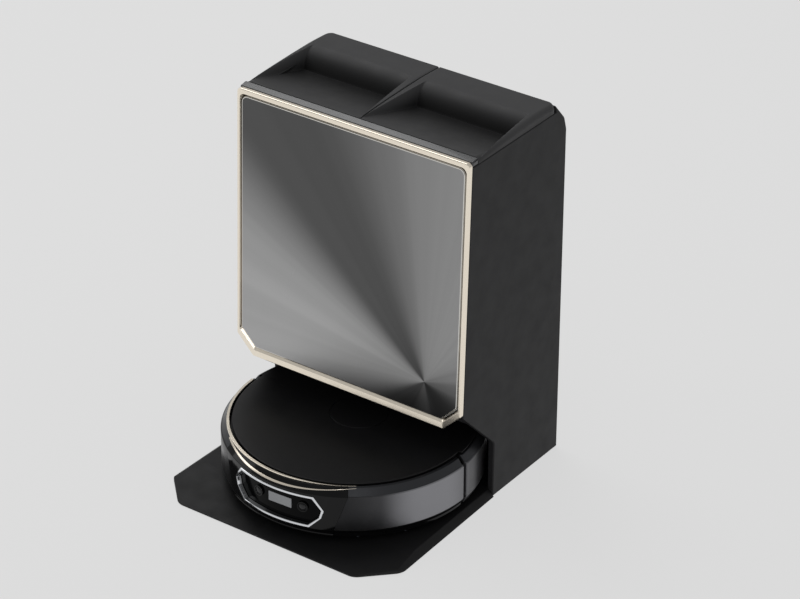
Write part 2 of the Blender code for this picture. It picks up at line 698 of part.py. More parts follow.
def build_bezel():
    """Chrome bezel around the camera window, bent round the bumper."""
    outer = bezel_outline(0.0)
    inner = bezel_outline(0.0035)
    count = len(outer)
    low = ROBOT_R + GAP
    high = ROBOT_R + 0.0020
    verts = []
    for radius, ring in ((low, outer), (high, outer), (high, inner), (low, inner)):
        verts += [wrapped_point(angle, radius, z) for angle, z in ring]
    faces = []
    for layer in range(4):
        for index in range(count):
            after = (index + 1) % count
            near = layer * count
            far = ((layer + 1) % 4) * count
            faces.append((near + index, near + after, far + after, far + index))
    return object_from("camera_bezel", verts, faces, "chrome", 30)


def strip_plate(name, columns, low_r, high_r, slot):
    """Plate bent round the bumper; each column is (angle, low z, high z)."""
    verts = []
    for angle, low, high in columns:
        for radius, z in ((low_r, low), (high_r, low), (high_r, high), (low_r, high)):
            verts.append(wrapped_point(angle, radius, z))
    faces = [(0, 1, 2, 3), tuple(len(verts) - 4 + index for index in range(4))]
    for step in range(len(columns) - 1):
        for index in range(4):
            after = (index + 1) % 4
            near = 4 * step
            faces.append((near + index, near + after, near + 4 + after, near + 4 + index))
    return object_from(name, verts, faces, slot, 30)


def build_camera():
    """Window, two lenses and the light sensor between them."""
    columns = [(-19.5, 0.0465, 0.0560), (-18.0, 0.0370, 0.0700)]
    columns += [(-14.0 + 28.0 * step / 8, 0.0318, 0.0716) for step in range(9)]
    columns += [(18.0, 0.0370, 0.0700), (19.5, 0.0465, 0.0560)]
    window = strip_plate("camera_window", columns, ROBOT_R + GAP, ROBOT_R + 0.0009, "dark_glass")
    sensor_columns = [(-5.0 + 10.0 * step / 4, 0.0470, 0.0620) for step in range(5)]
    sensor = strip_plate("sensor_window", sensor_columns, ROBOT_R + 0.0012, ROBOT_R + 0.0016, "sensor_grey")
    pieces = [window, sensor]
    for name, angle in (("camera_lens_left", -11.5), ("camera_lens_right", 11.5)):
        lens = disc(name, 0.0070, (0.0, 0.0), 0.0, 0.0016, "dark_glass", "y", 28)
        x, y, z = wrapped_point(angle, ROBOT_R + 0.0013, 0.0535)
        turn = Matrix.Translation((x, y, z)) @ Matrix.Rotation(math.radians(angle), 4, "Z")
        lens.data.transform(turn @ Matrix.Translation((0, -0.0016, 0)))
        pieces.append(lens)
    return pieces


# ---------------------------------------------------------------- robot running gear
def build_wheel(side):
    """Tyre with lugs and the hub inside it."""
    word = "right" if side > 0 else "left"
    x = span(side, (WHEEL_X - WHEEL_W / 2, WHEEL_X + WHEEL_W / 2))
    centre = (WHEEL_Y, WHEEL_Z)
    lugs = 24
    outline = []
    for index in range(lugs):
        for share, radius in ((0.0, WHEEL_R), (0.5, WHEEL_R), (0.55, WHEEL_R - 0.002), (0.95, WHEEL_R - 0.002)):
            angle = 2 * math.pi * (index + share) / lugs
            outline.append((centre[0] + radius * math.cos(angle), centre[1] + radius * math.sin(angle)))
    tyre = prism("drive_tyre_" + word, outline, x[0], x[1], "x", "rubber")
    cut(tyre, disc("tyre_bore", 0.0250, centre, x[0] - 0.01, x[1] + 0.01, None, "x", 40))
    hub = disc("drive_hub_" + word, 0.0247, centre, x[0] + 0.001, x[1] - 0.001, "hub_grey", "x", 40)
    for item in (tyre, hub):
        set_origin(item, (side * WHEEL_X, WHEEL_Y, WHEEL_Z))
    return tyre, hub


def build_arm(side):
    """Suspension arm with the wheel motor's gearbox."""
    word = "right" if side > 0 else "left"
    x = span(side, (0.0945, WHEEL_X - WHEEL_W / 2 - 0.0005))
    outline = filleted([(-0.060, 0.042, 0.006), (0.004, 0.0295, 0.010), (0.010, 0.056, 0.010),
                        (-0.060, 0.058, 0.006)], 4)
    arm = prism("suspension_arm_" + word, outline, x[0], x[1], "x", "pump_plastic", 40)
    return set_origin(arm, (side * 0.105, *ARM_PIVOT))


def build_caster():
    """Swivelling fork and its wheel."""
    top = disc("caster_fork", 0.0230, CASTER, 0.0270, 0.0440, "inner_plastic", count=36)
    wheel_y = CASTER[1] + CASTER_TRAIL
    wheel_z = FLOOR + GAP + CASTER_R
    for side in (-1, 1):
        x = span(side, (0.0085, 0.0125))
        add(top, block("fork_leg", (x[0], wheel_y - 0.008, wheel_z - 0.006), (x[1], wheel_y + 0.008, 0.030)))
    room = CASTER_R + 0.0015
    cut(top, disc("wheel_room", room, (wheel_y, wheel_z), -0.0084, 0.0084, None, "x", 32))
    set_origin(top, (CASTER[0], CASTER[1], 0.035))
    wheel = disc("caster_wheel", CASTER_R, (wheel_y, wheel_z), -0.0080, 0.0080, "rubber", "x", 32)
    set_origin(wheel, (0.0, wheel_y, wheel_z))
    return top, bevel(wheel, 0.0015)


def build_roller():
    """Main brush: a core with six twisted blades."""
    blades = 6
    slices = 16
    twist = math.radians(70)
    verts = []
    for step in range(slices + 1):
        x = -ROLLER_HALF + 2 * ROLLER_HALF * step / slices
        turn = twist * abs(2 * step / slices - 1)
        for blade in range(blades):
            for share, radius in ((-0.10, 0.0120), (-0.04, ROLLER_R), (0.04, ROLLER_R), (0.10, 0.0120)):
                angle = turn + 2 * math.pi * (blade / blades + share / 2)
                verts.append((x, ROLLER_Y + radius * math.cos(angle), ROLLER_Z + radius * math.sin(angle)))
    size = blades * 4
    faces = [tuple(range(size)), tuple(range(slices * size, (slices + 1) * size))]
    for step in range(slices):
        for index in range(size):
            after = (index + 1) % size
            near = step * size
            far = near + size
            faces.append((near + index, near + after, far + after, far + index))
    roller = object_from("roller_brush", verts, faces, "brush_blue", 25)
    return set_origin(roller, (0.0, ROLLER_Y, ROLLER_Z))


def build_side_brush():
    """Three-armed side brush."""
    brush = disc("side_brush", 0.0100, SIDE_BRUSH, 0.0125, 0.0300, "brush_blue", count=24)
    for index in range(3):
        arm = block("brush_arm", (0.004, -0.004, 0.0128), (0.041, 0.004, 0.0160))
        turn = Matrix.Rotation(index * math.tau / 3 + BRUSH_TURN, 4, "Z")
        arm.data.transform(Matrix.Translation((*SIDE_BRUSH, 0)) @ turn)
        add(brush, arm)
    return set_origin(brush, (*SIDE_BRUSH, 0.02))


def build_mops():
    """Lifting carriage, and for each side a plate with its shaft and a pad."""
    carriage = prism("mop_carriage", filleted([(-0.095, 0.050, 0.02), (0.095, 0.050, 0.02), (0.095, 0.094, 0.02),
                                               (-0.095, 0.094, 0.02)], 5), 0.0263, 0.0295, "z", "pump_plastic", 40)
    mops = []
    for side in (-1, 1):
        word = "right" if side > 0 else "left"
        centre = (side * MOP[0], MOP[1])
        plate = disc("mop_plate_" + word, 0.0570, centre, 0.0195, 0.0225, "hub_grey", count=48)
        add(plate, disc("mop_shaft", 0.0080, centre, 0.0210, 0.0260, count=24))
        pad = disc("mop_pad_" + word, MOP_R, centre, MOP_LOW, 0.0192, "mop_fabric", count=48)
        bevel(pad, 0.0020)
        for item in (plate, pad):
            set_origin(item, (*centre, 0.020))
        mops.append((plate, pad))
    return carriage, mops


def build_robot_insides():
    """Dust bin, battery, board and fan."""
    bin_low = (-0.070, 0.030, 0.0405)
    bin_high = (0.070, 0.106, 0.0785)
    dust_bin = block("dust_bin", bin_low, bin_high, "smoke_tank")
    cut(dust_bin, block("bin_hollow", (bin_low[0] + 0.002, bin_low[1] + 0.002, bin_low[2] + 0.002),
                        (bin_high[0] - 0.002, bin_high[1] - 0.002, 0.1)))
    battery = bevel(block("battery", (-0.062, -0.150, 0.0500), (0.062, -0.096, 0.0765), "battery_wrap"), 0.003, 1)
    board = block("main_board", (-0.060, -0.088, 0.0700), (0.060, -0.034, 0.0720), "circuit_board")
    fan = disc("suction_fan", 0.0260, (0.0, 0.0), 0.0300, 0.0680, "motor_metal", count=40)
    return [dust_bin, battery, board, fan]


# ---------------------------------------------------------------- assembly
def build_station():
    """Fixed pieces of the station."""
    build_tray()
    for side in (-1, 1):
        build_side_wall(side)
    build_rear_cover()
    build_front_frame()
    build_top_strip()
    build_garage()
    build_station_insides()
    build_feet()
    for side in (-1, 1):
        build_charging_pin(side)
    carry(body_empty("axis_front_door", panel_axis_point()), [build_front_panel()])


def build_tanks():
    """The two tanks, which lift out, each with its hinged lid."""
    for side, tank_name, lid_name, slot in ((-1, "clean_tank", "clean_tank_lid", "clear_tank"),
                                            (1, "dirty_tank", "dirty_tank_lid", "smoke_tank")):
        tank = build_tank(side, tank_name, slot)
        lid = build_lid(side, lid_name)
        set_origin(lid, (side * HALF_W / 2, LID_Y[1], LID_HINGE_Z))
        carry(body_empty("axis_" + lid_name, (side * HALF_W / 2, LID_Y[1], LID_HINGE_Z)), [lid])
        carry(body_empty("slide_" + tank_name, (side * HALF_W / 2, 0.09, 0.4)), [tank])


def build_robot():
    """The robot and all that it carries."""
    fixed = [build_chassis(), build_robot_body(), *build_robot_insides()]
    cover = build_top_cover()
    button = build_button()
    bumper = build_bumper() + [build_bezel()] + build_camera()
    carry(body_empty("slide_robot", ROBOT), fixed)
    carry(body_empty("slide_top_cover", (0.0, ROBOT.y, DECK_TOP)), [cover])
    carry(body_empty("slide_button", (0.0, BUTTON_Y, 0.090)), [button])
    carry(body_empty("slide_bumper", (0.0, ROBOT.y - ROBOT_R, 0.05)), bumper)
    for side in (-1, 1):
        build_wheel(side)
        build_arm(side)
    build_caster()
    build_roller()
    build_side_brush()
    build_mops()


def main():
    """Build the whole object."""
    clear_scene()
    build_station()
    build_tanks()
    build_robot()
    bpy.context.view_layer.update()


main()
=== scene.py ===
"""Looks of a robot vacuum parked in its base station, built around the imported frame.

Each sub-assembly is a class whose fields are sizes in metres.  Its methods build meshes in the
frame's own coordinates, dress them with a finish and let them ride on a body of the frame.
"""

import logging
import math
from dataclasses import dataclass
from enum import Enum
from typing import Callable, Iterable, Sequence

import bmesh
import bpy
from mathutils import Matrix, Vector


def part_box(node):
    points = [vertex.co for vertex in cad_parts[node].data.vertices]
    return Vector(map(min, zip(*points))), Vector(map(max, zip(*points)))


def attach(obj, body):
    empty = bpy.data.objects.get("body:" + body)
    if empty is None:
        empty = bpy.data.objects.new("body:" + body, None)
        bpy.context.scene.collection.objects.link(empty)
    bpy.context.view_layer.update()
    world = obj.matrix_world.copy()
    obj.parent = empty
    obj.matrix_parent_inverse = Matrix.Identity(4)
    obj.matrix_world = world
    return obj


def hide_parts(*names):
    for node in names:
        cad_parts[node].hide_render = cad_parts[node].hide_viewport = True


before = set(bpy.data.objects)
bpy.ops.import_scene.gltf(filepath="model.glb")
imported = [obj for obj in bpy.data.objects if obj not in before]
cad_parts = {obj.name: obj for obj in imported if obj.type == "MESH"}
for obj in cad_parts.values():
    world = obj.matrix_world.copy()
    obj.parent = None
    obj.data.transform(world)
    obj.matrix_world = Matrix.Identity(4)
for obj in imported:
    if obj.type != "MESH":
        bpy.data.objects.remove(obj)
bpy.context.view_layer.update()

LOG = logging.getLogger("robot_station")
Point = tuple[float, float, float]
Flat = tuple[float, float]
Place = Callable[[float, float, float], Point]
Tree = bpy.types.NodeTree
Node = bpy.types.Node
Socket = bpy.types.NodeSocket
Item = bpy.types.Object
Mesh = bpy.types.Mesh
MM = 0.001
WELD = 0.000002  # Points closer together than this, in metres, are one.
AXIS_Y = -0.0098  # y of the parked robot's upright axis.
CHAMFER_R = 0.1692  # Radius where the robot's sloped rim meets its flat top.
INNER_RIM_R = 0.1655  # Radius where that flat top ends at the cover's gap.


class Body(Enum):
    """Bodies of the frame that new pieces ride on."""

    STATION = "station"
    DOOR = "front_door"
    CLEAN_LID = "clean_lid"
    DIRTY_LID = "dirty_lid"
    ROBOT = "robot"
    BUMPER = "bumper"
    COVER = "top_cover"
    BUTTON = "button"
    WHEEL_LEFT = "wheel_left"
    WHEEL_RIGHT = "wheel_right"
    ROLLER = "roller"
    SWEEPER = "sweeper"
    MOP_LEFT = "mop_left"
    MOP_RIGHT = "mop_right"


class Side(Enum):
    """Left or right, seen from the front, with the sign of its x."""

    LEFT = -1
    RIGHT = 1

    @property
    def word(self) -> str:
        """Lower-case name used in node names."""
        return self.name.lower()


# ---- colour and nodes
def linear(hex_colour: str) -> tuple[float, float, float, float]:
    """Turn an sRGB hex colour into linear RGBA.

    Args:
        hex_colour: Six hex digits, such as "2b2b2d".

    Returns:
        Linear red, green, blue and an alpha of 1.
    """
    parts = [int(hex_colour[index:index + 2], 16) / 255 for index in (0, 2, 4)]
    low = [part / 12.92 if part <= 0.04045 else ((part + 0.055) / 1.055) ** 2.4 for part in parts]
    return (low[0], low[1], low[2], 1.0)


def add_node(tree: Tree, kind: str, settings: dict | None = None,
             inputs: dict | None = None) -> Node:
    """Add a node with its settings and its inputs.

    Args:
        tree: Node tree that receives the node.
        kind: Blender's type name of the node.
        settings: Attributes to set on the node.
        inputs: Input name or index to a constant, or to the output socket that feeds it.

    Returns:
        The new node.
    """
    node = tree.nodes.new(kind)
    for name, value in (settings or {}).items():
        setattr(node, name, value)
    for key, value in (inputs or {}).items():
        if isinstance(value, Socket):
            tree.links.new(value, node.inputs[key])
        else:
            node.inputs[key].default_value = value
    return node


# ---- finishes
@dataclass(frozen=True)
class Finish:
    """A surface: the slot it stands for, its colour and how it shines.

    Args:
        name: Plain words for the material and how its surface was made.
        slot: Material slot of the record; not used.
        colour: sRGB hex colour.
        roughness: Microfacet roughness.
        metallic: 1 for bare metal.
        mottle: Share by which the colour drifts over a hand's width.
        grain: Size of the moulded grain in metres, or 0.
        relief: Depth of the grain in metres.
        wear: How much lighter the exposed edges are.
        coat: Strength of a clear lacquer over the colour.
        specular: Strength of the plain reflection, 0.5 for untreated plastic.
    """

    name: str
    slot: str
    colour: str
    roughness: float
    metallic: float = 0.0
    mottle: float = 0.06
    grain: float = 0.7 * MM
    relief: float = 0.02 * MM
    wear: float = 0.25
    coat: float = 0.0
    specular: float = 0.5

    def material(self) -> bpy.types.Material:
        """Return the material, making it on first use.

        Returns:
            The material.
        """
        found = bpy.data.materials.get("look_" + self.name)
        if found:
            return found
        made = bpy.data.materials.new("look_" + self.name)
        made.use_nodes = True
        tree = made.node_tree
        shader = tree.nodes["Principled BSDF"]
        shader.inputs["Metallic"].default_value = self.metallic
        shader.inputs["Coat Weight"].default_value = self.coat
        shader.inputs["Specular IOR Level"].default_value = self.specular
        shader.inputs["Coat Roughness"].default_value = 0.05
        self.dress(tree, shader)
        return made

    def dress(self, tree: Tree, shader: Node) -> None:
        """Add the colour, roughness and relief that most mouldings share.

        Args:
            tree: Material's node tree.
            shader: Principled shader.
        """
        place = add_node(tree, "ShaderNodeTexCoord").outputs["Object"]
        # Drifting colour, and painted light and shade in the finishes that paint them.
        colour = self.worn(tree, self.drift_and_painted_light(tree, place))
        tree.links.new(colour, shader.inputs["Base Color"])
        self.shine(tree, place, shader)
        if self.grain:
            self.emboss(tree, place, shader)

    def drift_and_painted_light(self, tree: Tree, place: Socket) -> Socket:
        """Let the colour vary softly, as pigment and handling make it.

        Args:
            tree: Material's node tree.
            place: Object coordinates.

        Returns:
            The drifting colour.
        """
        cloud = add_node(tree, "ShaderNodeTexNoise", inputs={"Vector": place, "Scale": 14.0, "Detail": 3.0})
        tone = linear(self.colour)
        dark = tuple(part * (1 - self.mottle) for part in tone[:3]) + (1.0,)
        light = tuple(min(1.0, part * (1 + self.mottle)) for part in tone[:3]) + (1.0,)
        mix = add_node(tree, "ShaderNodeMix", {"data_type": "RGBA"},
                       {0: cloud.outputs["Fac"], 6: dark, 7: light})
        return mix.outputs[2]

    def worn(self, tree: Tree, colour: Socket) -> Socket:
        """Rub the exposed edges lighter.

        Args:
            tree: Material's node tree.
            colour: Colour so far.

        Returns:
            The worn colour.
        """
        edge = add_node(tree, "ShaderNodeNewGeometry").outputs["Pointiness"]
        share = add_node(tree, "ShaderNodeMapRange", inputs={0: edge, 1: 0.52, 2: 0.60, 3: 0.0, 4: self.wear})
        pale = tuple(min(1.0, part * 1.9 + 0.01) for part in linear(self.colour)[:3]) + (1.0,)
        mix = add_node(tree, "ShaderNodeMix", {"data_type": "RGBA"}, {0: share.outputs[0], 6: colour, 7: pale})
        return mix.outputs[2]

    def shine(self, tree: Tree, place: Socket, shader: Node) -> None:
        """Vary the roughness a little, as finger marks and dust do.

        Args:
            tree: Material's node tree.
            place: Object coordinates.
            shader: Principled shader.
        """
        smear = add_node(tree, "ShaderNodeTexNoise", inputs={"Vector": place, "Scale": 38.0, "Detail": 4.0})
        span = 0.14 * self.roughness
        spread = add_node(tree, "ShaderNodeMapRange",
                          inputs={0: smear.outputs["Fac"], 1: 0.3, 2: 0.7, 3: self.roughness - span,
                                  4: self.roughness + span})
        tree.links.new(spread.outputs[0], shader.inputs["Roughness"])

    def emboss(self, tree: Tree, place: Socket, shader: Node) -> None:
        """Emboss the fine spark-eroded grain of the mould.

        Args:
            tree: Material's node tree.
            place: Object coordinates.
            shader: Principled shader.
        """
        grain = add_node(tree, "ShaderNodeTexNoise", inputs={"Vector": place, "Scale": 1 / self.grain, "Detail": 2.0})
        relief = add_node(tree, "ShaderNodeBump", inputs={"Height": grain.outputs["Fac"], "Strength": 0.6,
                                                          "Distance": self.relief})
        tree.links.new(relief.outputs[0], shader.inputs["Normal"])


@dataclass(frozen=True)
class Lobe:
    """A soft bundle of light or shade around a direction.

    Args:
        angle: Its middle, in degrees.
        spread: Degrees from the middle to where it has faded.
        strength: Reflectance that it adds, or takes away if it is negative.
    """

    angle: float
    spread: float
    strength: float


def gather(tree: Tree, turn: Socket, base: float,
           lobes: Sequence[Lobe]) -> Socket:
    """Add lobes of light to a base reflectance.

    Args:
        tree: Material's node tree.
        turn: Angle of the surface point about an axis, in radians.
        base: Reflectance outside the lobes.
        lobes: Lobes to add.

    Returns:
        The reflectance.
    """
    total: Socket | float = base
    for lobe in lobes:
        away = add_node(tree, "ShaderNodeMath", {"operation": "SUBTRACT"}, {0: turn, 1: math.radians(lobe.angle)})
        near = add_node(tree, "ShaderNodeMath", {"operation": "COSINE"}, {0: away.outputs[0]})
        share = add_node(tree, "ShaderNodeMapRange", {"interpolation_type": "SMOOTHSTEP"},
                         {0: near.outputs[0], 1: math.cos(math.radians(lobe.spread)), 2: 1.0, 3: 0.0,
                          4: lobe.strength})
        total = add_node(tree, "ShaderNodeMath", {"operation": "ADD"}, {0: total, 1: share.outputs[0]}).outputs[0]
    return total


@dataclass(frozen=True)
class FanBrushed(Finish):
    """Metal sheet brushed in a fan: fine scratches circle one point, so light gathers in rays from it, and painted rays
    of light in its colour add to them.

    The shade comes from base and rays, so the colour isn't used.

    Args:
        hub: Point that the scratches circle.
        strength: Anisotropy of the scratches.
        base: Reflectance between the rays.
        rays: Painted rays, which stand for soft lights around the sheet.
    """

    hub: Point = (0.0, 0.0, 0.0)
    strength: float = 0.8
    base: float = 0.1
    rays: tuple[Lobe, ...] = ()

    def dress(self, tree: Tree, shader: Node) -> None:
        """Circle the scratches about the hub and paint rays of light and shade into their colour.

        Args:
            tree: Material's node tree.
            shader: Principled shader.
        """
        place = add_node(tree, "ShaderNodeTexCoord").outputs["Object"]
        arm = add_node(tree, "ShaderNodeVectorMath", {"operation": "SUBTRACT"}, {0: place, 1: self.hub}).outputs[0]
        normal = add_node(tree, "ShaderNodeNewGeometry").outputs["Normal"]
        along = add_node(tree, "ShaderNodeVectorMath", {"operation": "CROSS_PRODUCT"}, {0: normal, 1: arm})
        unit = add_node(tree, "ShaderNodeVectorMath", {"operation": "NORMALIZE"}, {0: along.outputs[0]})
        tree.links.new(unit.outputs[0], shader.inputs["Tangent"])
        shader.inputs["Anisotropic"].default_value = self.strength
        part = add_node(tree, "ShaderNodeSeparateXYZ", inputs={0: arm})
        turn = add_node(tree, "ShaderNodeMath", {"operation": "ARCTAN2"},
                        {0: part.outputs["Z"], 1: part.outputs["X"]}).outputs[0]
        self.tint(tree, shader, arm, turn)

    def tint(self, tree: Tree, shader: Node, arm: Socket,
             turn: Socket) -> None:
        """Paint rays of light and shade into the colour, and roughen the rings of single scratches.

        Args:
            tree: Material's node tree.
            shader: Principled shader.
            arm: Vector from the hub to the surface.
            turn: Angle of that vector in the sheet.
        """
        reach = add_node(tree, "ShaderNodeVectorMath", {"operation": "LENGTH"}, {0: arm}).outputs["Value"]
        round_x = add_node(tree, "ShaderNodeMath", {"operation": "COSINE"}, {0: turn}).outputs[0]
        round_y = add_node(tree, "ShaderNodeMath", {"operation": "SINE"}, {0: turn}).outputs[0]
        around = add_node(tree, "ShaderNodeCombineXYZ", inputs={"X": round_x, "Y": round_y})
        fine = add_node(tree, "ShaderNodeTexNoise", inputs={"Vector": around.outputs[0], "Scale": 7.0, "Detail": 3.0})
        streak = add_node(tree, "ShaderNodeMapRange", inputs={0: fine.outputs["Fac"], 1: 0.3, 2: 0.7, 3: 0.94, 4: 1.06})
        # Painted rays of light and shade, by the angle about the hub.
        grey = gather(tree, turn, self.base, self.rays)
        lit = add_node(tree, "ShaderNodeMath", {"operation": "MULTIPLY"}, {0: grey, 1: streak.outputs[0]}).outputs[0]
        colour = add_node(tree, "ShaderNodeCombineColor", inputs={"Red": lit, "Green": lit, "Blue": lit})
        tree.links.new(colour.outputs[0], shader.inputs["Base Color"])
        ring = add_node(tree, "ShaderNodeCombineXYZ", inputs={"X": reach, "Y": turn})
        stretch = add_node(tree, "ShaderNodeVectorMath", {"operation": "MULTIPLY"},
                           {0: ring.outputs[0], 1: (2500.0, 1.2, 1.0)})
        scratch = add_node(tree, "ShaderNodeTexNoise", inputs={"Vector": stretch.outputs[0], "Scale": 1.0})
        spread = add_node(tree, "ShaderNodeMapRange", inputs={0: scratch.outputs["Fac"], 3: self.roughness - 0.05,
                                                              4: self.roughness + 0.05})
        tree.links.new(spread.outputs[0], shader.inputs["Roughness"])
        relief = add_node(tree, "ShaderNodeBump", inputs={"Height": scratch.outputs["Fac"], "Strength": 0.25,
                                                          "Distance": self.relief})
        tree.links.new(relief.outputs[0], shader.inputs["Normal"])


@dataclass(frozen=True)
class FlakePaint(Finish):
    """Plastic with a metallic paint: tiny flakes glint in a dark base."""

    def shine(self, tree: Tree, place: Socket, shader: Node) -> None:
        """Tilt each flake's normal by a cell pattern, drawn coarser than real flakes so that it shows.

        Args:
            tree: Material's node tree.
            place: Object coordinates.
            shader: Principled shader.
        """
        super().shine(tree, place, shader)
        cells = add_node(tree, "ShaderNodeTexVoronoi", inputs={"Vector": place, "Scale": 1 / (0.9 * MM)})
        lean = add_node(tree, "ShaderNodeVectorMath", {"operation": "SUBTRACT"},
                        {0: cells.outputs["Color"], 1: (0.5, 0.5, 0.5)})
        small = add_node(tree, "ShaderNodeVectorMath", {"operation": "SCALE"}, {0: lean.outputs[0], "Scale": 0.06})
        normal = add_node(tree, "ShaderNodeNewGeometry").outputs["Normal"]
        bent = add_node(tree, "ShaderNodeVectorMath", {"operation": "ADD"}, {0: normal, 1: small.outputs[0]})
        unit = add_node(tree, "ShaderNodeVectorMath", {"operation": "NORMALIZE"}, {0: bent.outputs[0]})
        tree.links.new(unit.outputs[0], shader.inputs["Normal"])


@dataclass(frozen=True)
class TurnedPaint(FlakePaint):
    """Metallic paint on a round wall, with painted lobes that stand for the soft lights beside it.

    The shade comes from base and lobes, so the colour isn't used.

    Args:
        centre_y: y of the upright axis that the wall runs round.
        base: Reflectance outside the lobes.
        lobes: Lobes by the angle from the front, growing to the right.
    """

    centre_y: float = 0.0
    base: float = 0.1
    lobes: tuple[Lobe, ...] = ()

    def drift_and_painted_light(self, tree: Tree, place: Socket) -> Socket:
        """Paint light and shade on the wall by the angle from its front.

        Args:
            tree: Material's node tree.
            place: Object coordinates.

        Returns:
            The colour.
        """
        arm = add_node(tree, "ShaderNodeVectorMath", {"operation": "SUBTRACT"},
                       {0: place, 1: (0.0, self.centre_y, 0.0)}).outputs[0]
        part = add_node(tree, "ShaderNodeSeparateXYZ", inputs={0: arm})
        ahead = add_node(tree, "ShaderNodeMath", {"operation": "MULTIPLY"}, {0: part.outputs["Y"], 1: -1.0}).outputs[0]
        turn = add_node(tree, "ShaderNodeMath", {"operation": "ARCTAN2"}, {0: part.outputs["X"], 1: ahead}).outputs[0]
        grey = gather(tree, turn, self.base, self.lobes)
        cool = add_node(tree, "ShaderNodeMath", {"operation": "MULTIPLY"}, {0: grey, 1: 1.06}).outputs[0]
        return add_node(tree, "ShaderNodeCombineColor", inputs={"Red": grey, "Green": grey, "Blue": cool}).outputs[0]


@dataclass(frozen=True)
class PaintedShadePlastic(Finish):
    """Plastic with painted shading that deepens down in a pocket and on its rear wall.

    Args:
        low: Height of the darkest level.
        high: Height above which the colour is full.
        share: Share of the colour left at the lowest level.
        wall: Share of the colour left on a face that looks forward.
    """

    low: float = 0.0
    high: float = 1.0
    share: float = 0.4
    wall: float = 0.5

    def drift_and_painted_light(self, tree: Tree, place: Socket) -> Socket:
        """Paint shade into the drifting colour towards the pocket's floor and on the wall behind it.

        Args:
            tree: Material's node tree.
            place: Object coordinates.

        Returns:
            The darkened colour.
        """
        colour = super().drift_and_painted_light(tree, place)
        level = add_node(tree, "ShaderNodeSeparateXYZ", inputs={0: place}).outputs["Z"]
        keep = add_node(tree, "ShaderNodeMapRange", {"interpolation_type": "SMOOTHSTEP"},
                        {0: level, 1: self.low, 2: self.high, 3: self.share, 4: 1.0}).outputs[0]
        normal = add_node(tree, "ShaderNodeNewGeometry").outputs["Normal"]
        ahead = add_node(tree, "ShaderNodeSeparateXYZ", inputs={0: normal}).outputs["Y"]
        faced = add_node(tree, "ShaderNodeMapRange", inputs={0: ahead, 1: -0.75, 2: -0.1, 3: self.wall, 4: 1.0})
        both = add_node(tree, "ShaderNodeMath", {"operation": "MULTIPLY"}, {0: keep, 1: faced.outputs[0]}).outputs[0]
        return add_node(tree, "ShaderNodeVectorMath", {"operation": "SCALE"}, {0: colour, "Scale": both}).outputs[0]


@dataclass(frozen=True)
class Woven(Finish):
    """Cloth of crossed or looped yarn.

    Args:
        pitch: Distance between yarns in metres.
    """

    pitch: float = 1.6 * MM

    def emboss(self, tree: Tree, place: Socket, shader: Node) -> None:
        """Raise the loops of the yarn and soften the cloth with sheen.

        Args:
            tree: Material's node tree.
            place: Object coordinates.
            shader: Principled shader.
        """
        loops = add_node(tree, "ShaderNodeTexVoronoi", {"feature": "SMOOTH_F1"},
                         {"Vector": place, "Scale": 1 / self.pitch})
        relief = add_node(tree, "ShaderNodeBump", inputs={"Height": loops.outputs["Distance"], "Strength": 0.8,
                                                          "Distance": self.relief})
        tree.links.new(relief.outputs[0], shader.inputs["Normal"])
        shader.inputs["Sheen Weight"].default_value = 0.35


@dataclass(frozen=True)
class Clear(Finish):
    """Tinted transparent plastic."""

    def dress(self, tree: Tree, shader: Node) -> None:
        """Let light through, and keep faint moulding flow in the roughness.

        Args:
            tree: Material's node tree.
            shader: Principled shader.
        """
        super().dress(tree, shader)
        shader.inputs["Transmission Weight"].default_value = 0.75
        shader.inputs["IOR"].default_value = 1.49


# Satin plastic: dark, with a broad dull sheen.
SATIN_WALL = Finish("satin moulded ABS, station walls", "satin_dark", "232324", 0.42, mottle=0.03, grain=0.9 * MM,
                    specular=0.12)
# A deeper texture than the walls': nearly black and dull.
TRAY_ABS = Finish("fine textured ABS, tray", "tray_dark", "181819", 0.48, grain=1.1 * MM, relief=0.05 * MM,
                  specular=0.22)
# A lighter grey than the walls', with painted shade down in the pockets and on their rear walls.
LID_ABS = PaintedShadePlastic("satin moulded ABS, tank lids", "top_satin", "474748", 0.42, grain=0.8 * MM, specular=0.12,
                      low=0.5125, high=0.5335, share=0.12, wall=0.25)
# Polished, so it mirrors softly.
STRIP_ABS = Finish("polished ABS, top strip", "strip_gloss", "2f3032", 0.20, grain=0.0, coat=0.25)
# Warm pale metal with a broad soft shine.
CHAMPAGNE = Finish("champagne anodised aluminium", "champagne", "fff3e2", 0.22, 1.0, 0.03, 0.0, wear=0.0)
# Freshly cut metal: a thin bright line.
BRIGHT_EDGE = Finish("diamond cut aluminium edge", "champagne", "e6e4df", 0.20, 1.0, 0.03, 0.0, wear=0.0)
# Plain mouldings that are seldom seen: near black.
INNER_ABS = Finish("plain moulded ABS, inner parts", "inner_plastic", "161617", 0.55, specular=0.3)
# Matte black with a soft highlight.
BLACK_COVER = Finish("matte moulded polycarbonate, robot cover", "robot_top", "1a1a1b", 0.38, mottle=0.08,
                     grain=0.8 * MM, specular=0.22)
# Deep black with sharp reflections.
PIANO_BLACK = Finish("polished black polycarbonate", "robot_gloss", "080809", 0.08, mottle=0.05, grain=0.0, wear=0.1,
                     specular=0.22)
# Painted light and shade round the robot's wall: bright lobes at the sides, darker at the front.
PAINTED_SIDE_LIGHTS = (Lobe(72.0, 25.0, 0.17), Lobe(-72.0, 26.0, 0.03), Lobe(0.0, 64.0, -0.085))
# Metallic paint, with painted light and shade that change round the wall.
GREY_PAINT = TurnedPaint("metallic grey painted ABS", "robot_grey", "8d8f93", 0.32, 0.85, 0.04, 0.0, wear=0.0,
                         centre_y=AXIS_Y, base=0.095, lobes=PAINTED_SIDE_LIGHTS)
# The same paint in a darker tone.
DARK_PAINT = FlakePaint("dark metallic painted ABS", "robot_grey", "3a3b3e", 0.34, 0.70, 0.04, 0.0, wear=0.0)
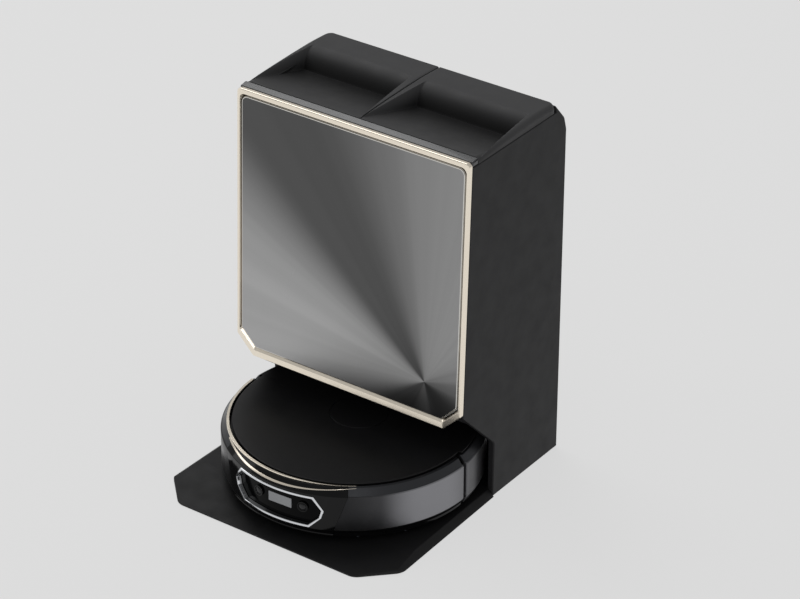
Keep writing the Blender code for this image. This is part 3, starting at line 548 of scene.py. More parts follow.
# Pale and mirror-like.
CHROME = Finish("chromed ABS", "chrome", "e3e5e8", 0.08, 1.0, 0.02, 0.0, wear=0.0)
# Smoked pane: black, and hides what is behind it.
WINDOW_BLACK = Finish("smoked camera window", "robot_gloss", "030304", 0.12, mottle=0.05, grain=0.0, wear=0.0,
                      specular=0.06)
# Coated glass: a small sharp glint.
LENS_GLASS = Finish("coated lens glass", "dark_glass", "06060a", 0.04, 0.0, 0.04, 0.0, coat=0.3, wear=0.0, specular=0.3)
# Pale grey under a clear face.
SENSOR_PANE = Finish("grey light sensor pane", "sensor_grey", "8b8d90", 0.22, 0.0, 0.10, 0.0, coat=0.5, wear=0.0)
# Black and dull.
TYRE_RUBBER = Finish("moulded rubber", "rubber", "181818", 0.78, grain=0.6 * MM, relief=0.05 * MM)
# Mid grey and dull.
HUB_ABS = Finish("grey moulded ABS", "hub_grey", "6b6c6e", 0.48)
# Soft plastic, bluish grey.
BRUSH_TPU = Finish("dark soft TPU and nylon bristle", "brush_blue", "5c6168", 0.58, mottle=0.12)
# Looped cloth: light grey, with a soft sheen.
MICROFIBRE = Woven("looped grey microfibre", "mop_fabric", "94979c", 0.90, 0.0, 0.12, 1.0 * MM, 0.35 * MM, 0.0)
# Pressed cloth: off-white and matt.
BAG_CLOTH = Woven("spunbond filter cloth", "bag_paper", "c4c0b4", 0.85, 0.0, 0.08, 1.0 * MM, 0.12 * MM, 0.0,
                  pitch=0.9 * MM)
# See-through and faintly grey.
CLEAR_TANK = Clear("clear grey tinted polycarbonate", "clear_tank", "9aa4aa", 0.12, 0.0, 0.04, 0.0, wear=0.1)
# See-through and dark.
SMOKE_TANK = Clear("smoke tinted polycarbonate", "smoke_tank", "4f5356", 0.16, 0.0, 0.04, 0.0, wear=0.1)
# Bare metal with a coarse grain.
CAST_METAL = Finish("cast aluminium housing", "motor_metal", "a8a9ab", 0.38, 1.0, 0.06, 0.9 * MM, 0.04 * MM)
# Dark grey, slightly rough.
PUMP_ABS = Finish("dark moulded nylon housing", "pump_plastic", "4a4d52", 0.48)
# Green lacquer over laminate.
BOARD = Finish("solder masked circuit board", "circuit_board", "1d5a3a", 0.42, 0.0, 0.12, 1.2 * MM, 0.03 * MM, 0.1,
               0.3)
# Warm yellow metal.
CONTACT = Finish("gold plated contact spring", "contact_metal", "d9bd78", 0.24, 1.0, 0.04, 0.0)
# Milky and waxy.
BOTTLE_PE = Finish("blow moulded polyethylene", "bottle", "c9cdd1", 0.36, mottle=0.04)
# Dark blue film.
CELL_WRAP = Finish("shrink wrapped cells", "battery_wrap", "31385e", 0.40, mottle=0.08, coat=0.3)


# ---- outlines
def filleted(points: Sequence[tuple[float, float, float]], steps: int = 8) -> list[Flat]:
    """Round the corners of an outline.

    Args:
        points: Corners as (a, b, radius).
        steps: Divisions of each rounded corner.

    Returns:
        The outline's points in order.
    """
    result: list[Flat] = []
    for index, (a, b, radius) in enumerate(points):
        here = Vector((a, b))
        if radius <= 0:
            result.append((a, b))
            continue
        before = (Vector(points[index - 1][:2]) - here).normalized()
        after = (Vector(points[(index + 1) % len(points)][:2]) - here).normalized()
        half = before.angle(after) / 2
        centre = here + (before + after).normalized() * (radius / math.sin(half))
        start = here + before * (radius / math.tan(half)) - centre
        stop = here + after * (radius / math.tan(half)) - centre
        turn = start.angle_signed(stop)
        for step in range(steps + 1):
            arm = Matrix.Rotation(-turn * step / steps, 2) @ start
            result.append((centre.x + arm.x, centre.y + arm.y))
    return result


def inset(outline: Sequence[Flat], distance: float) -> list[Flat]:
    """Move every edge of a closed outline inwards by a distance, or outwards if it is negative.

    Args:
        outline: Closed outline.
        distance: How far the edges move.

    Returns:
        The moved outline.
    """
    count = len(outline)
    area = sum(outline[i][0] * outline[(i + 1) % count][1] - outline[(i + 1) % count][0] * outline[i][1]
               for i in range(count))
    sign = 1.0 if area > 0 else -1.0
    moved = []
    for index in range(count):
        here = Vector(outline[index])
        before = (here - Vector(outline[index - 1])).normalized()
        after = (Vector(outline[(index + 1) % count]) - here).normalized()
        normals = [Vector((-edge.y, edge.x)) * sign for edge in (before, after)]
        share = distance / max(0.2, 1 + normals[0].dot(normals[1]))
        spot = here + (normals[0] + normals[1]) * share
        moved.append((spot.x, spot.y))
    return moved


def circle(radius: float, centre: Flat = (0.0, 0.0), count: int = 96) -> list[Flat]:
    """Points of a circle."""
    return [(centre[0] + radius * math.cos(math.tau * i / count), centre[1] + radius * math.sin(math.tau * i / count))
            for i in range(count)]


def quarter(radius: float, steps: int) -> list[Flat]:
    """Inset and rise of the points on a quarter round, from the face's rim to the side."""
    return [(radius * (1 - math.sin(math.pi / 2 * k / steps)), radius * (1 - math.cos(math.pi / 2 * k / steps)))
            for k in range(steps + 1)]


def along_x(a: float, b: float, t: float) -> Point:
    """Place an outline drawn in y and z at an x."""
    return (t, a, b)


def along_z(a: float, b: float, t: float) -> Point:
    """Place an outline drawn in x and y at a z."""
    return (a, b, t)


def hoop(radius: float, centre: Flat, level: float, place: Place, count: int) -> list[Point]:
    """Circle of points in space.

    Args:
        radius: Its radius.
        centre: Its middle, in the plane that it is drawn in.
        level: Where it stands along the axis.
        place: Puts a point of the plane and a level into space.
        count: Number of points.

    Returns:
        The points in order.
    """
    return [place(a, b, level) for a, b in circle(radius, centre, count)]


def smooth_step(share: float) -> float:
    """Ease a share from 0 to 1."""
    share = min(1.0, max(0.0, share))
    return share * share * (3 - 2 * share)


def between(x: float, table: Sequence[Flat]) -> float:
    """Read a height from a short list of (x, height) by straight lines.

    Args:
        x: Where to read.
        table: Pairs in order of x.

    Returns:
        The height.
    """
    for (x0, z0), (x1, z1) in zip(table, table[1:]):
        if x <= x1:
            return z0 + (z1 - z0) * max(0.0, (x - x0) / (x1 - x0))
    return table[-1][1]


# ---- meshes
def new_item(name: str, data: bpy.types.ID) -> Item:
    """Make an object of a mesh, light or camera and put it into the scene.

    Args:
        name: Name of the object.
        data: What it shows or does.

    Returns:
        The new object.
    """
    item = bpy.data.objects.new(name, data)
    bpy.context.scene.collection.objects.link(item)
    return item


def evaluated(item: Item) -> Mesh:
    """Return a plain mesh of an item with its modifiers applied."""
    bpy.context.view_layer.update()
    return bpy.data.meshes.new_from_object(item.evaluated_get(bpy.context.evaluated_depsgraph_get()))


class Shape:
    """Points and faces of one piece, gathered before they become a mesh."""

    def __init__(self) -> None:
        """Start empty."""
        self.points: list[Point] = []
        self.faces: list[tuple[int, ...]] = []

    def loft(self, loops: Sequence[Sequence[Point]], capped: bool = True, ring: bool = False) -> "Shape":
        """Join closed loops of equal length.

        Args:
            loops: Loops of points in order.
            capped: Whether the first and last loops are filled.
            ring: Whether the last loop joins the first.

        Returns:
            This shape.
        """
        base = len(self.points)
        size = len(loops[0])
        for loop in loops:
            self.points.extend(loop)
        last = len(loops) if ring else len(loops) - 1
        for row in range(last):
            near = base + row * size
            far = base + ((row + 1) % len(loops)) * size
            for index in range(size):
                after = (index + 1) % size
                self.faces.append((near + index, near + after, far + after, far + index))
        if capped and not ring:
            self.faces.append(tuple(base + index for index in range(size)))
            self.faces.append(tuple(base + (len(loops) - 1) * size + index for index in range(size)))
        return self

    def plate(self, outline: Sequence[Flat], low: float, high: float, rounding: float, place: Place,
              steps: int = 3) -> "Shape":
        """Extrude an outline with rounded rims.

        Args:
            outline: Closed outline.
            low: Start along the axis.
            high: End along the axis.
            rounding: Radius of both rims.
            place: Puts an outline point and a distance into space.
            steps: Divisions of the rounding.

        Returns:
            This shape.
        """
        arc = quarter(rounding, steps) if rounding else [(0.0, 0.0)]
        loops = [[place(a, b, low + rise) for a, b in inset(outline, gap)] for gap, rise in arc]
        loops += [[place(a, b, high - rise) for a, b in inset(outline, gap)] for gap, rise in reversed(arc)]
        return self.loft(loops)

    def box(self, low: Point, high: Point, rounding: float = 0.0) -> "Shape":
        """Add a box with rounded upright edges and rims.

        Args:
            low: Lowest corner.
            high: Highest corner.
            rounding: Radius of the upright edges.

        Returns:
            This shape.
        """
        corners = [(low[0], low[1], rounding), (high[0], low[1], rounding), (high[0], high[1], rounding),
                   (low[0], high[1], rounding)]
        outline = filleted(corners, 3)
        return self.plate(outline, low[2], high[2], rounding * 0.6, along_z, 2)

    def solid(self, name: str, clean: bool = False) -> Item:
        """Make an undressed object of the shape.

        Args:
            name: Name of the object.
            clean: Whether faces and edges without size are taken out.

        Returns:
            The new object.
        """
        mesh = bpy.data.meshes.new(name)
        work = bmesh.new()
        corners = [work.verts.new(point) for point in self.points]
        for face in self.faces:
            work.faces.new([corners[index] for index in face])
        bmesh.ops.remove_doubles(work, verts=work.verts, dist=WELD)
        if clean:
            bmesh.ops.dissolve_degenerate(work, edges=work.edges, dist=WELD / 2)
        bmesh.ops.recalc_face_normals(work, faces=work.faces)
        work.to_mesh(mesh)
        work.free()
        return new_item(name, mesh)

    def build(self, name: str, finish: Finish, body: Body, replaces: Iterable[str] = (),
              sharp: float = 32.0) -> Item:
        """Make the mesh, dress it and let it ride.

        Args:
            name: Name of the piece.
            finish: Its surface.
            body: Body of the frame it moves with.
            replaces: Nodes of the frame that it stands for.
            sharp: Angle above which an edge stays sharp.

        Returns:
            The new object.
        """
        return dress(self.solid(name, clean=True), finish, body, replaces, sharp)


def dress(item: Item, finish: Finish, body: Body, replaces: Iterable[str] = (),
          sharp: float = 32.0) -> Item:
    """Shade an item, give it its material and let it ride.

    Args:
        item: Object with its mesh in place.
        finish: Its surface.
        body: Body of the frame it moves with.
        replaces: Nodes of the frame that it stands for.
        sharp: Angle above which an edge stays sharp.

    Returns:
        The item.
    """
    item.data.shade_smooth()
    item.data.set_sharp_from_angle(angle=math.radians(sharp))
    item.data.materials.clear()
    item.data.materials.append(finish.material())
    weighted = item.modifiers.new("even_shading", "WEIGHTED_NORMAL")
    weighted.keep_sharp = True
    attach(item, body.value)
    for node in replaces:
        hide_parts(node)
    LOG.info("%s: %d faces, %s", item.name, len(item.data.polygons), finish.name)
    return item


def redress(node: str, finish: Finish) -> None:
    """Give a node of the frame, whose shape is right, a better material.

    Args:
        node: Name of the node.
        finish: Its new surface.
    """
    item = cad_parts[node]
    for index in range(len(item.material_slots)):
        item.material_slots[index].material = finish.material()
    if not item.material_slots:
        item.data.materials.append(finish.material())


def carved(item: Item, tools: Sequence[Item]) -> Item:
    """Cut tools out of an item, keep the result as a plain mesh and remove the tools.

    Args:
        item: Object to cut.
        tools: Objects that are cut out of it.

    Returns:
        The item.
    """
    for tool in tools:
        cut = item.modifiers.new("cut", "BOOLEAN")
        cut.operation = "DIFFERENCE"
        cut.solver = "EXACT"
        cut.object = tool
    mesh = evaluated(item)
    item.modifiers.clear()
    item.data = mesh
    for tool in tools:
        bpy.data.objects.remove(tool, do_unlink=True)
    return item


# ---- repeated detail by Geometry Nodes
class Repeat:
    """A Geometry Nodes tree that sets one small shape along points and makes the result real."""

    def __init__(self, name: str) -> None:
        """Start a tree with its sizes as named inputs.

        Args:
            name: Name of the tree.
        """
        self.tree = bpy.data.node_groups.new(name, "GeometryNodeTree")
        face = self.tree.interface
        face.new_socket("Geometry", in_out="INPUT", socket_type="NodeSocketGeometry")
        for label, kind in (("Size", "NodeSocketVector"), ("Step", "NodeSocketVector"), ("Start", "NodeSocketVector"),
                            ("Count", "NodeSocketInt"), ("Radius", "NodeSocketFloat"), ("Seed", "NodeSocketInt"),
                            ("Material", "NodeSocketMaterial")):
            face.new_socket(label, in_out="INPUT", socket_type=kind)
        face.new_socket("Geometry", in_out="OUTPUT", socket_type="NodeSocketGeometry")
        self.given = self.tree.nodes.new("NodeGroupInput")
        self.out = self.tree.nodes.new("NodeGroupOutput")

    def close(self, instances: Socket) -> None:
        """Realise the instances and set their material.

        Args:
            instances: Output that carries the instances.
        """
        real = add_node(self.tree, "GeometryNodeRealizeInstances", inputs={0: instances})
        painted = add_node(self.tree, "GeometryNodeSetMaterial",
                           inputs={0: real.outputs[0], "Material": self.given.outputs["Material"]})
        self.tree.links.new(painted.outputs[0], self.out.inputs[0])

    def run(self, name: str, finish: Finish, body: Body, base: Mesh | None = None,
            **values: object) -> Item:
        """Evaluate the tree with given sizes and keep the result as a plain mesh.

        Args:
            name: Name of the piece.
            finish: Its surface.
            body: Body of the frame it moves with.
            base: Mesh that the tree grows on, if it needs one.
            **values: Values of the tree's inputs by lower-case name.

        Returns:
            The new object.
        """
        holder = new_item(name + "_grower", base or bpy.data.meshes.new(name + "_base"))
        grow = holder.modifiers.new("grow", "NODES")
        grow.node_group = self.tree
        values["material"] = finish.material()
        for socket in self.tree.interface.items_tree:
            if socket.in_out == "INPUT" and socket.name.lower() in values:
                grow[socket.identifier] = values[socket.name.lower()]
        mesh = evaluated(holder)
        bpy.data.objects.remove(holder, do_unlink=True)
        return dress(new_item(name, mesh), finish, body)


def bar_row() -> Repeat:
    """Tree that sets equal bars in a straight row: ribs, slats and fins.

    Returns:
        The tree.
    """
    kit = Repeat("bar_row")
    given = kit.given.outputs
    line = add_node(kit.tree, "GeometryNodeMeshLine",
                    inputs={"Count": given["Count"], "Start Location": given["Start"], "Offset": given["Step"]})
    bar = add_node(kit.tree, "GeometryNodeMeshCube", inputs={"Size": given["Size"]})
    row = add_node(kit.tree, "GeometryNodeInstanceOnPoints",
                   inputs={"Points": line.outputs[0], "Instance": bar.outputs[0]})
    kit.close(row.outputs[0])
    return kit


def peg_ring() -> Repeat:
    """Tree that sets pegs on the points of a base mesh: screw heads, studs and cells.

    Returns:
        The tree.
    """
    kit = Repeat("pegs_on_points")
    given = kit.given.outputs
    parts = add_node(kit.tree, "ShaderNodeSeparateXYZ", inputs={0: given["Size"]})
    peg = add_node(kit.tree, "GeometryNodeMeshCylinder", inputs={"Vertices": 24, "Radius": parts.outputs["X"],
                                                                 "Depth": parts.outputs["Z"]})
    row = add_node(kit.tree, "GeometryNodeInstanceOnPoints",
                   inputs={"Points": given["Geometry"], "Instance": peg.outputs[0]})
    kit.close(row.outputs[0])
    return kit


def tuft_field() -> Repeat:
    """Tree that grows short leaning tufts all over a base mesh: bristles and pile.

    Returns:
        The tree.
    """
    kit = Repeat("tuft_field")
    given = kit.given.outputs
    spread = add_node(kit.tree, "GeometryNodeDistributePointsOnFaces",
                      inputs={"Mesh": given["Geometry"], "Density": given["Radius"], "Seed": given["Seed"]})
    parts = add_node(kit.tree, "ShaderNodeSeparateXYZ", inputs={0: given["Size"]})
    tuft = add_node(kit.tree, "GeometryNodeMeshCone",
                    inputs={"Vertices": 5, "Radius Bottom": parts.outputs["X"], "Radius Top": parts.outputs["Y"],
                            "Depth": parts.outputs["Z"]})
    wobble = add_node(kit.tree, "FunctionNodeRandomValue", {"data_type": "FLOAT_VECTOR"},
                      {0: (-0.25, -0.25, -3.1), 1: (0.25, 0.25, 3.1), "Seed": given["Seed"]})
    lean = add_node(kit.tree, "FunctionNodeEulerToRotation", inputs={0: wobble.outputs[0]})
    turn = add_node(kit.tree, "FunctionNodeRotateRotation",
                    {"rotation_space": "LOCAL"}, {0: spread.outputs["Rotation"], 1: lean.outputs[0]})
    row = add_node(kit.tree, "GeometryNodeInstanceOnPoints",
                   inputs={"Points": spread.outputs[0], "Instance": tuft.outputs[0], "Rotation": turn.outputs[0]})
    kit.close(row.outputs[0])
    return kit


def points_mesh(name: str, points: Sequence[Point]) -> Mesh:
    """A mesh of loose points for a tree to build on.

    Args:
        name: Name of the mesh.
        points: Where the points are.

    Returns:
        The mesh.
    """
    mesh = bpy.data.meshes.new(name)
    mesh.from_pydata(list(points), [], [])
    return mesh


# ---- station
@dataclass
class StationShell:
    """Outer casing of the station: tray, side walls, rear cover and top strip."""

    back: float = 0.2068
    half_width: float = 0.183
    ground: float = 0.001
    wall: float = 0.010
    side_top: float = 0.5205
    side_back: float = 0.1805
    skin: float = 0.004
    tray_half: float = 0.1893
    tray_cut: float = 0.045
    tray_round: float = 0.020
    tray_slope: float = 1.0
    wall_front: float = 0.053
    step_front: float = 0.086
    flat_top: float = 0.470
    vent_x: float = -0.060
    vent_low: float = 0.060
    vent_width: float = 0.074
    vent_step: float = 0.0052
    vent_slats: int = 9
    vent_depth: float = 0.0025
    vent_rim: float = 0.0040
    cut_start: float = 0.19
    cut_stop: float = 0.22
    inlet_gap: float = 0.0004
    gap: float = 0.0003
    flare: float = 0.0015
    lid_level: float = 0.5300
    ramp_low: float = 0.003
    ramp_high: float = 0.010
    ramp_end: float = -0.120
    basin_floor: float = 0.004
    basin_front: float = 0.0045
    basin_rear: float = 0.1415
    basin_half: float = 0.1345

    def face_y(self, z: float, behind: float = 0.0) -> float:
        """y of the leaning front at a height, or of a plane behind it."""
        return FRONT.low_y + (z - FRONT.low_z) * math.tan(FRONT.lean) + behind / math.cos(FRONT.lean)

    def tray_width(self, y: float) -> float:
        """Half width of the tray at a y, with its cut and rounded front corners.

        Args:
            y: Distance to the back.

        Returns:
            Half the width.
        """
        front = -self.back
        reach = self.tray_round * math.tan(math.pi / 8)
        corner_x = self.tray_half - self.tray_cut
        first = (corner_x - reach, front + self.tray_round)
        if y < front + reach * math.sin(math.pi / 4):
            return first[0] + math.sqrt(max(0.0, self.tray_round ** 2 - (y - first[1]) ** 2))
        second = (self.tray_half - self.tray_round, front + self.tray_cut + reach)
        if y < second[1] - self.tray_round * math.sin(math.pi / 4):
            return corner_x + (y - front)
        if y < second[1]:
            return second[0] + math.sqrt(self.tray_round ** 2 - (y - second[1]) ** 2)
        if y < self.wall_front - 0.0004:
            share = (y - second[1]) / (self.wall_front - second[1])
            return self.tray_half + (self.half_width + self.flare - self.tray_half) * share
        return self.half_width - self.wall - 0.0005

    def tray_row(self, y: float) -> list[Point]:
        """Cross-section of the tray at a y, with its sloped sides, as one closed loop.

        Args:
            y: Distance to the back.

        Returns:
            The loop.
        """
        width = self.tray_width(y)
        floor = between(y, ((-self.back, self.ramp_low), (self.ramp_end, self.ramp_high), (0.3, self.ramp_high)))
        behind = y > self.wall_front - self.gap
        basin = self.basin_floor if self.basin_front < y < self.basin_rear else floor
        slope = 0.0 if behind else max(0.0, (floor - 0.0015)) * self.tray_slope
        straight = self.tray_half + (self.half_width + self.flare - self.tray_half) * (
            max(0.0, y + self.back - self.tray_cut) / (self.wall_front + self.back - self.tray_cut))
        top = min(width - 0.0009, straight - slope) if not behind else width - 0.0009
        scale = min(1.0, (top - 0.004) / 0.170)
        half = [(0.0, basin), (0.045 * scale, basin), (0.09 * scale, basin), (self.basin_half * scale, basin),
                (0.1352 * scale, floor), (0.150 * scale, floor), (0.165 * scale, floor), (top - 0.0010, floor),
                (top - 0.0002, floor - 0.0003), (top + 0.0005, floor - 0.0010),
                (min(width, top + slope * 0.5 + 0.0005), (floor + 0.0015) / 2), (width - 0.0002, 0.0019),
                (width, self.ground + 0.0002), (width - 0.0003, self.ground)]
        right = [(x, y, z) for x, z in half]
        return [(-x, y, z) for x, z in reversed(half[1:])] + right

    def build_tray(self) -> None:
        """Tray with a ramp, sloped sides and the wash basin."""
        front = -self.back
        rows = [front + 0.0001, front + 0.0006, front + 0.0016, front + 0.003, front + 0.0045, front + 0.006]
        rows += [front + 0.006 + 0.0333 * k / 10 for k in range(1, 11)]
        rows += [-0.1676 + 0.0145 * k / 8 for k in range(9)]
        rows += [-0.150, -0.135, -0.1205, -0.1195]
        rows += [-0.100, -0.07, -0.04, -0.01, 0.0042, 0.0048, 0.028, 0.0525, 0.0528, 0.09, 0.1412, 0.1418, 0.1718]
        loops = [self.tray_row(y) for y in sorted(rows)]
        Shape().loft(loops).build("tray", TRAY_ABS, Body.STATION, ["base_tray"], 30)

    def build_side_walls(self) -> None:
        """Flat side walls with their diagonal cut and softened edges."""
        behind = FRONT.depth + self.gap
        outline = filleted([(self.wall_front, self.ground, 0.0), (self.wall_front, self.step_front, 0.012),
                            (self.face_y(0.160, behind), 0.160, 0.008),
                            (self.face_y(self.side_top, behind), self.side_top, 0.0),
                            (self.side_back + self.gap, self.side_top, 0.0), (self.side_back + self.gap, 0.5290, 0.0),
                            *self.slope(0.0)[1:], (self.back, self.ground, 0.0)], 6)
        for side in Side:
            near, far = sorted((side.value * (self.half_width - self.wall), side.value * self.half_width))
            Shape().plate(outline, near, far, 0.0022, along_x, 4).build(
                "side_panel_" + side.word, SATIN_WALL, Body.STATION, ["side_wall_" + side.word], 30)

    def slope(self, inward: float) -> list[tuple[float, float, float]]:
        """Corners of the sloped top edge at the back, from the lids down, with their rounding.

        Args:
            inward: How far inside the cover's face.

        Returns:
            Corners as (y, z, radius).
        """
        drop = inward * 0.7
        return [(0.1818 - inward * 0.2, self.lid_level - inward, 0.0015 if not inward else 0.0),
                (0.2015 - drop, 0.5050 - drop * 0.6, 0.010), (self.back - inward, 0.487 - drop * 0.2, 0.012)]

    def build_rear_cover(self) -> None:
        """Rear cover: a plate bent over the top edge, with the inlet's window and the vent's pocket cut in."""
        x = self.half_width - self.wall - self.gap
        front = self.side_back + self.gap
        inner = list(reversed(self.slope(self.skin)))
        outline = filleted([(self.back, self.ground, 0.0), (self.back, self.flat_top, 0.0),
                            *reversed(self.slope(0.0)), (front, self.lid_level, 0.0), (front, 0.5262, 0.0), inner[1],
                            inner[0], (self.back - self.skin, self.ground, 0.0)], 6)
        cover = Shape().plate(outline, -x, x, 0.0004, along_x, 2).solid("rear_shell")
        low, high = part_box("power_inlet")
        gap = self.inlet_gap
        window = Shape().box((low.x - gap, self.cut_start, low.z - gap), (high.x + gap, self.cut_stop, high.z + gap))
        half = self.vent_width / 2
        top = self.vent_low + (self.vent_slats - 1) * self.vent_step
        pocket = Shape().box((self.vent_x - half, self.back - self.vent_depth, self.vent_low - self.vent_rim),
                             (self.vent_x + half, self.cut_stop, top + self.vent_rim))
        carved(cover, [window.solid("inlet_cut"), pocket.solid("vent_cut")])
        dress(cover, SATIN_WALL, Body.STATION, ["rear_cover"], 30)

    def build_strip(self) -> None:
        """Polished strip along the top's front."""
        low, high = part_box("top_trim_strip")
        outline = filleted([(low.y, low.z, 0.0), (high.y, low.z, 0.0), (high.y, high.z, 0.0006),
                            (low.y + 0.0006, high.z - 0.0014, 0.0012)], 4)
        Shape().plate(outline, low.x, high.x, 0.0018, along_x, 4).build(
            "gloss_strip", STRIP_ABS, Body.STATION, ["top_trim_strip"], 28)

    def build_vents(self) -> None:
        """Outlet slats of the dryer, low on the rear cover, set into their pocket."""
        bar_row().run("rear_vent_slats", INNER_ABS, Body.STATION, size=(self.vent_width + 0.0002, 0.0016, 0.0024),
                      step=(0.0, 0.0, self.vent_step), start=(self.vent_x, self.back - 0.0011, self.vent_low),
                      count=self.vent_slats)

    def build(self) -> None:
        """Build the whole casing."""
        self.build_tray()
        self.build_side_walls()
        self.build_rear_cover()
        self.build_strip()
        self.build_vents()


@dataclass
class LeaningFront:
    """Metal frame and brushed panel on the plane that leans back."""

    low_y: float = -0.027
    low_z: float = 0.138
    height: float = 0.3893
    lean: float = math.radians(2.06)
    depth: float = 0.006
    side: float = 0.006
    top: float = 0.0085
    bottom: float = 0.0125
    chamfer: float = 0.027
    half_width: float = 0.183
    recess: float = 0.0045
    panel_face: float = 0.0010
    panel_back: float = 0.0058
    panel_gap: float = 0.0008
    lip_side: float = 0.0040
    lip_bottom: float = 0.0085
    lip_top: float = 0.0066
    foot_fall: float = 0.0016
    foot_height: float = 0.030

    def outline(self, side: float, bottom: float, top: float, chamfer: float, radius: float) -> list[Flat]:
        """Outline of the front in its own plane, with margins on its edges.

        Args:
            side: Margin at the sides.
            bottom: Margin below.
            top: Margin above.
            chamfer: Size of the cut lower corners.
            radius: Radius of the upper corners.

        Returns:
            The outline.
        """
        x = self.half_width - side
        high = self.height - top
        soft = max(0.0015, radius * 0.6)
        return filleted([(-x, bottom + chamfer, soft), (-x + chamfer, bottom, soft), (x - chamfer, bottom, soft),
                         (x, bottom + chamfer, soft), (x, high, radius), (-x, high, radius)], 8)

    def place(self, a: float, b: float, t: float) -> Point:
        """Put a point of the front's plane, t behind its face, into space."""
        spot = Matrix.Rotation(-self.lean, 3, "X") @ Vector((a, t, b))
        return (spot.x, spot.y + self.low_y, spot.z + self.low_z)

    def build_frame(self) -> None:
        """Frame with a narrow flat edge and a bevel that falls in towards the panel."""
        outer = self.outline(0.0, 0.0, 0.0, self.chamfer, 0.006)
        inner = self.outline(self.side, self.bottom, self.top, self.chamfer - 0.003, 0.010)
        lip = self.outline(self.lip_side, self.lip_bottom, self.lip_top, self.chamfer - 0.002, 0.0085)
        loops = [(inset(inner, 0.0), self.depth), (outer, self.depth)]
        loops += [(inset(outer, gap), rise) for gap, rise in reversed(quarter(0.0016, 4))]
        rings = [[self.place(a, b, t) for a, b in ring] for ring, t in loops]
        for ring, sunk in ((lip, 0.0), (inset(lip, 0.0003), 0.0002)):
            rings.append([self.place(a, b, sunk + self.foot_fall * max(0.0, 1 - b / self.foot_height))
                          for a, b in ring])
        rings += [[self.place(a, b, t) for a, b in ring]
                  for ring, t in ((inset(inner, -0.0004), self.recess * 0.85), (inner, self.recess))]
        Shape().loft(rings, ring=True).build("metal_frame", CHAMPAGNE, Body.STATION, ["front_frame"], 24)

    def build_panel(self) -> None:
        """Brushed sheet with a softly pressed rim, and the bright cut edge around it."""
        gap = self.panel_gap
        outline = self.outline(self.side + gap, self.bottom + gap, self.top + gap, self.chamfer - 0.0033, 0.0100)
        loops = [[self.place(a, b, self.panel_face + rise) for a, b in inset(outline, step)]
                 for step, rise in quarter(0.0016, 6)]
        loops.append([self.place(a, b, self.panel_back) for a, b in outline])
        Shape().loft(loops).build("brushed_panel", SUNBURST, Body.DOOR, ["front_panel"], 28)
        rim = []
        for out, depth in ((0.0017, 0.00095), (0.0009, 0.00105), (0.0001, 0.0021), (-0.0001, 0.0024), (0.0010, 0.0024)):
            rim.append([self.place(a, b, depth) for a, b in inset(outline, out)])
        Shape().loft(rim, ring=True).build("panel_cut_edge", BRIGHT_EDGE, Body.DOOR)

    def build(self) -> None:
        """Build the frame and the panel."""
        self.build_frame()
        self.build_panel()


FRONT = LeaningFront()
# Dark steel sheet, brushed in circles about a point low on the right: rays of light stand out from it, partly from the
# brushing and partly painted into its colour.
FAN_PAINTED_RAYS = (Lobe(177.0, 42.0, 0.34), Lobe(62.0, 58.0, 0.22), Lobe(8.0, 24.0, 0.08), Lobe(-92.0, 22.0, 0.04),
            Lobe(-48.0, 36.0, -0.06))
SUNBURST = FanBrushed("fan brushed dark stainless steel", "brushed_dark", "8e8e90", 0.30, 1.0, 0.0, 0.0, 0.02 * MM,
                      hub=(0.124, -0.0239, 0.1969), strength=0.6, base=0.105, rays=FAN_PAINTED_RAYS)


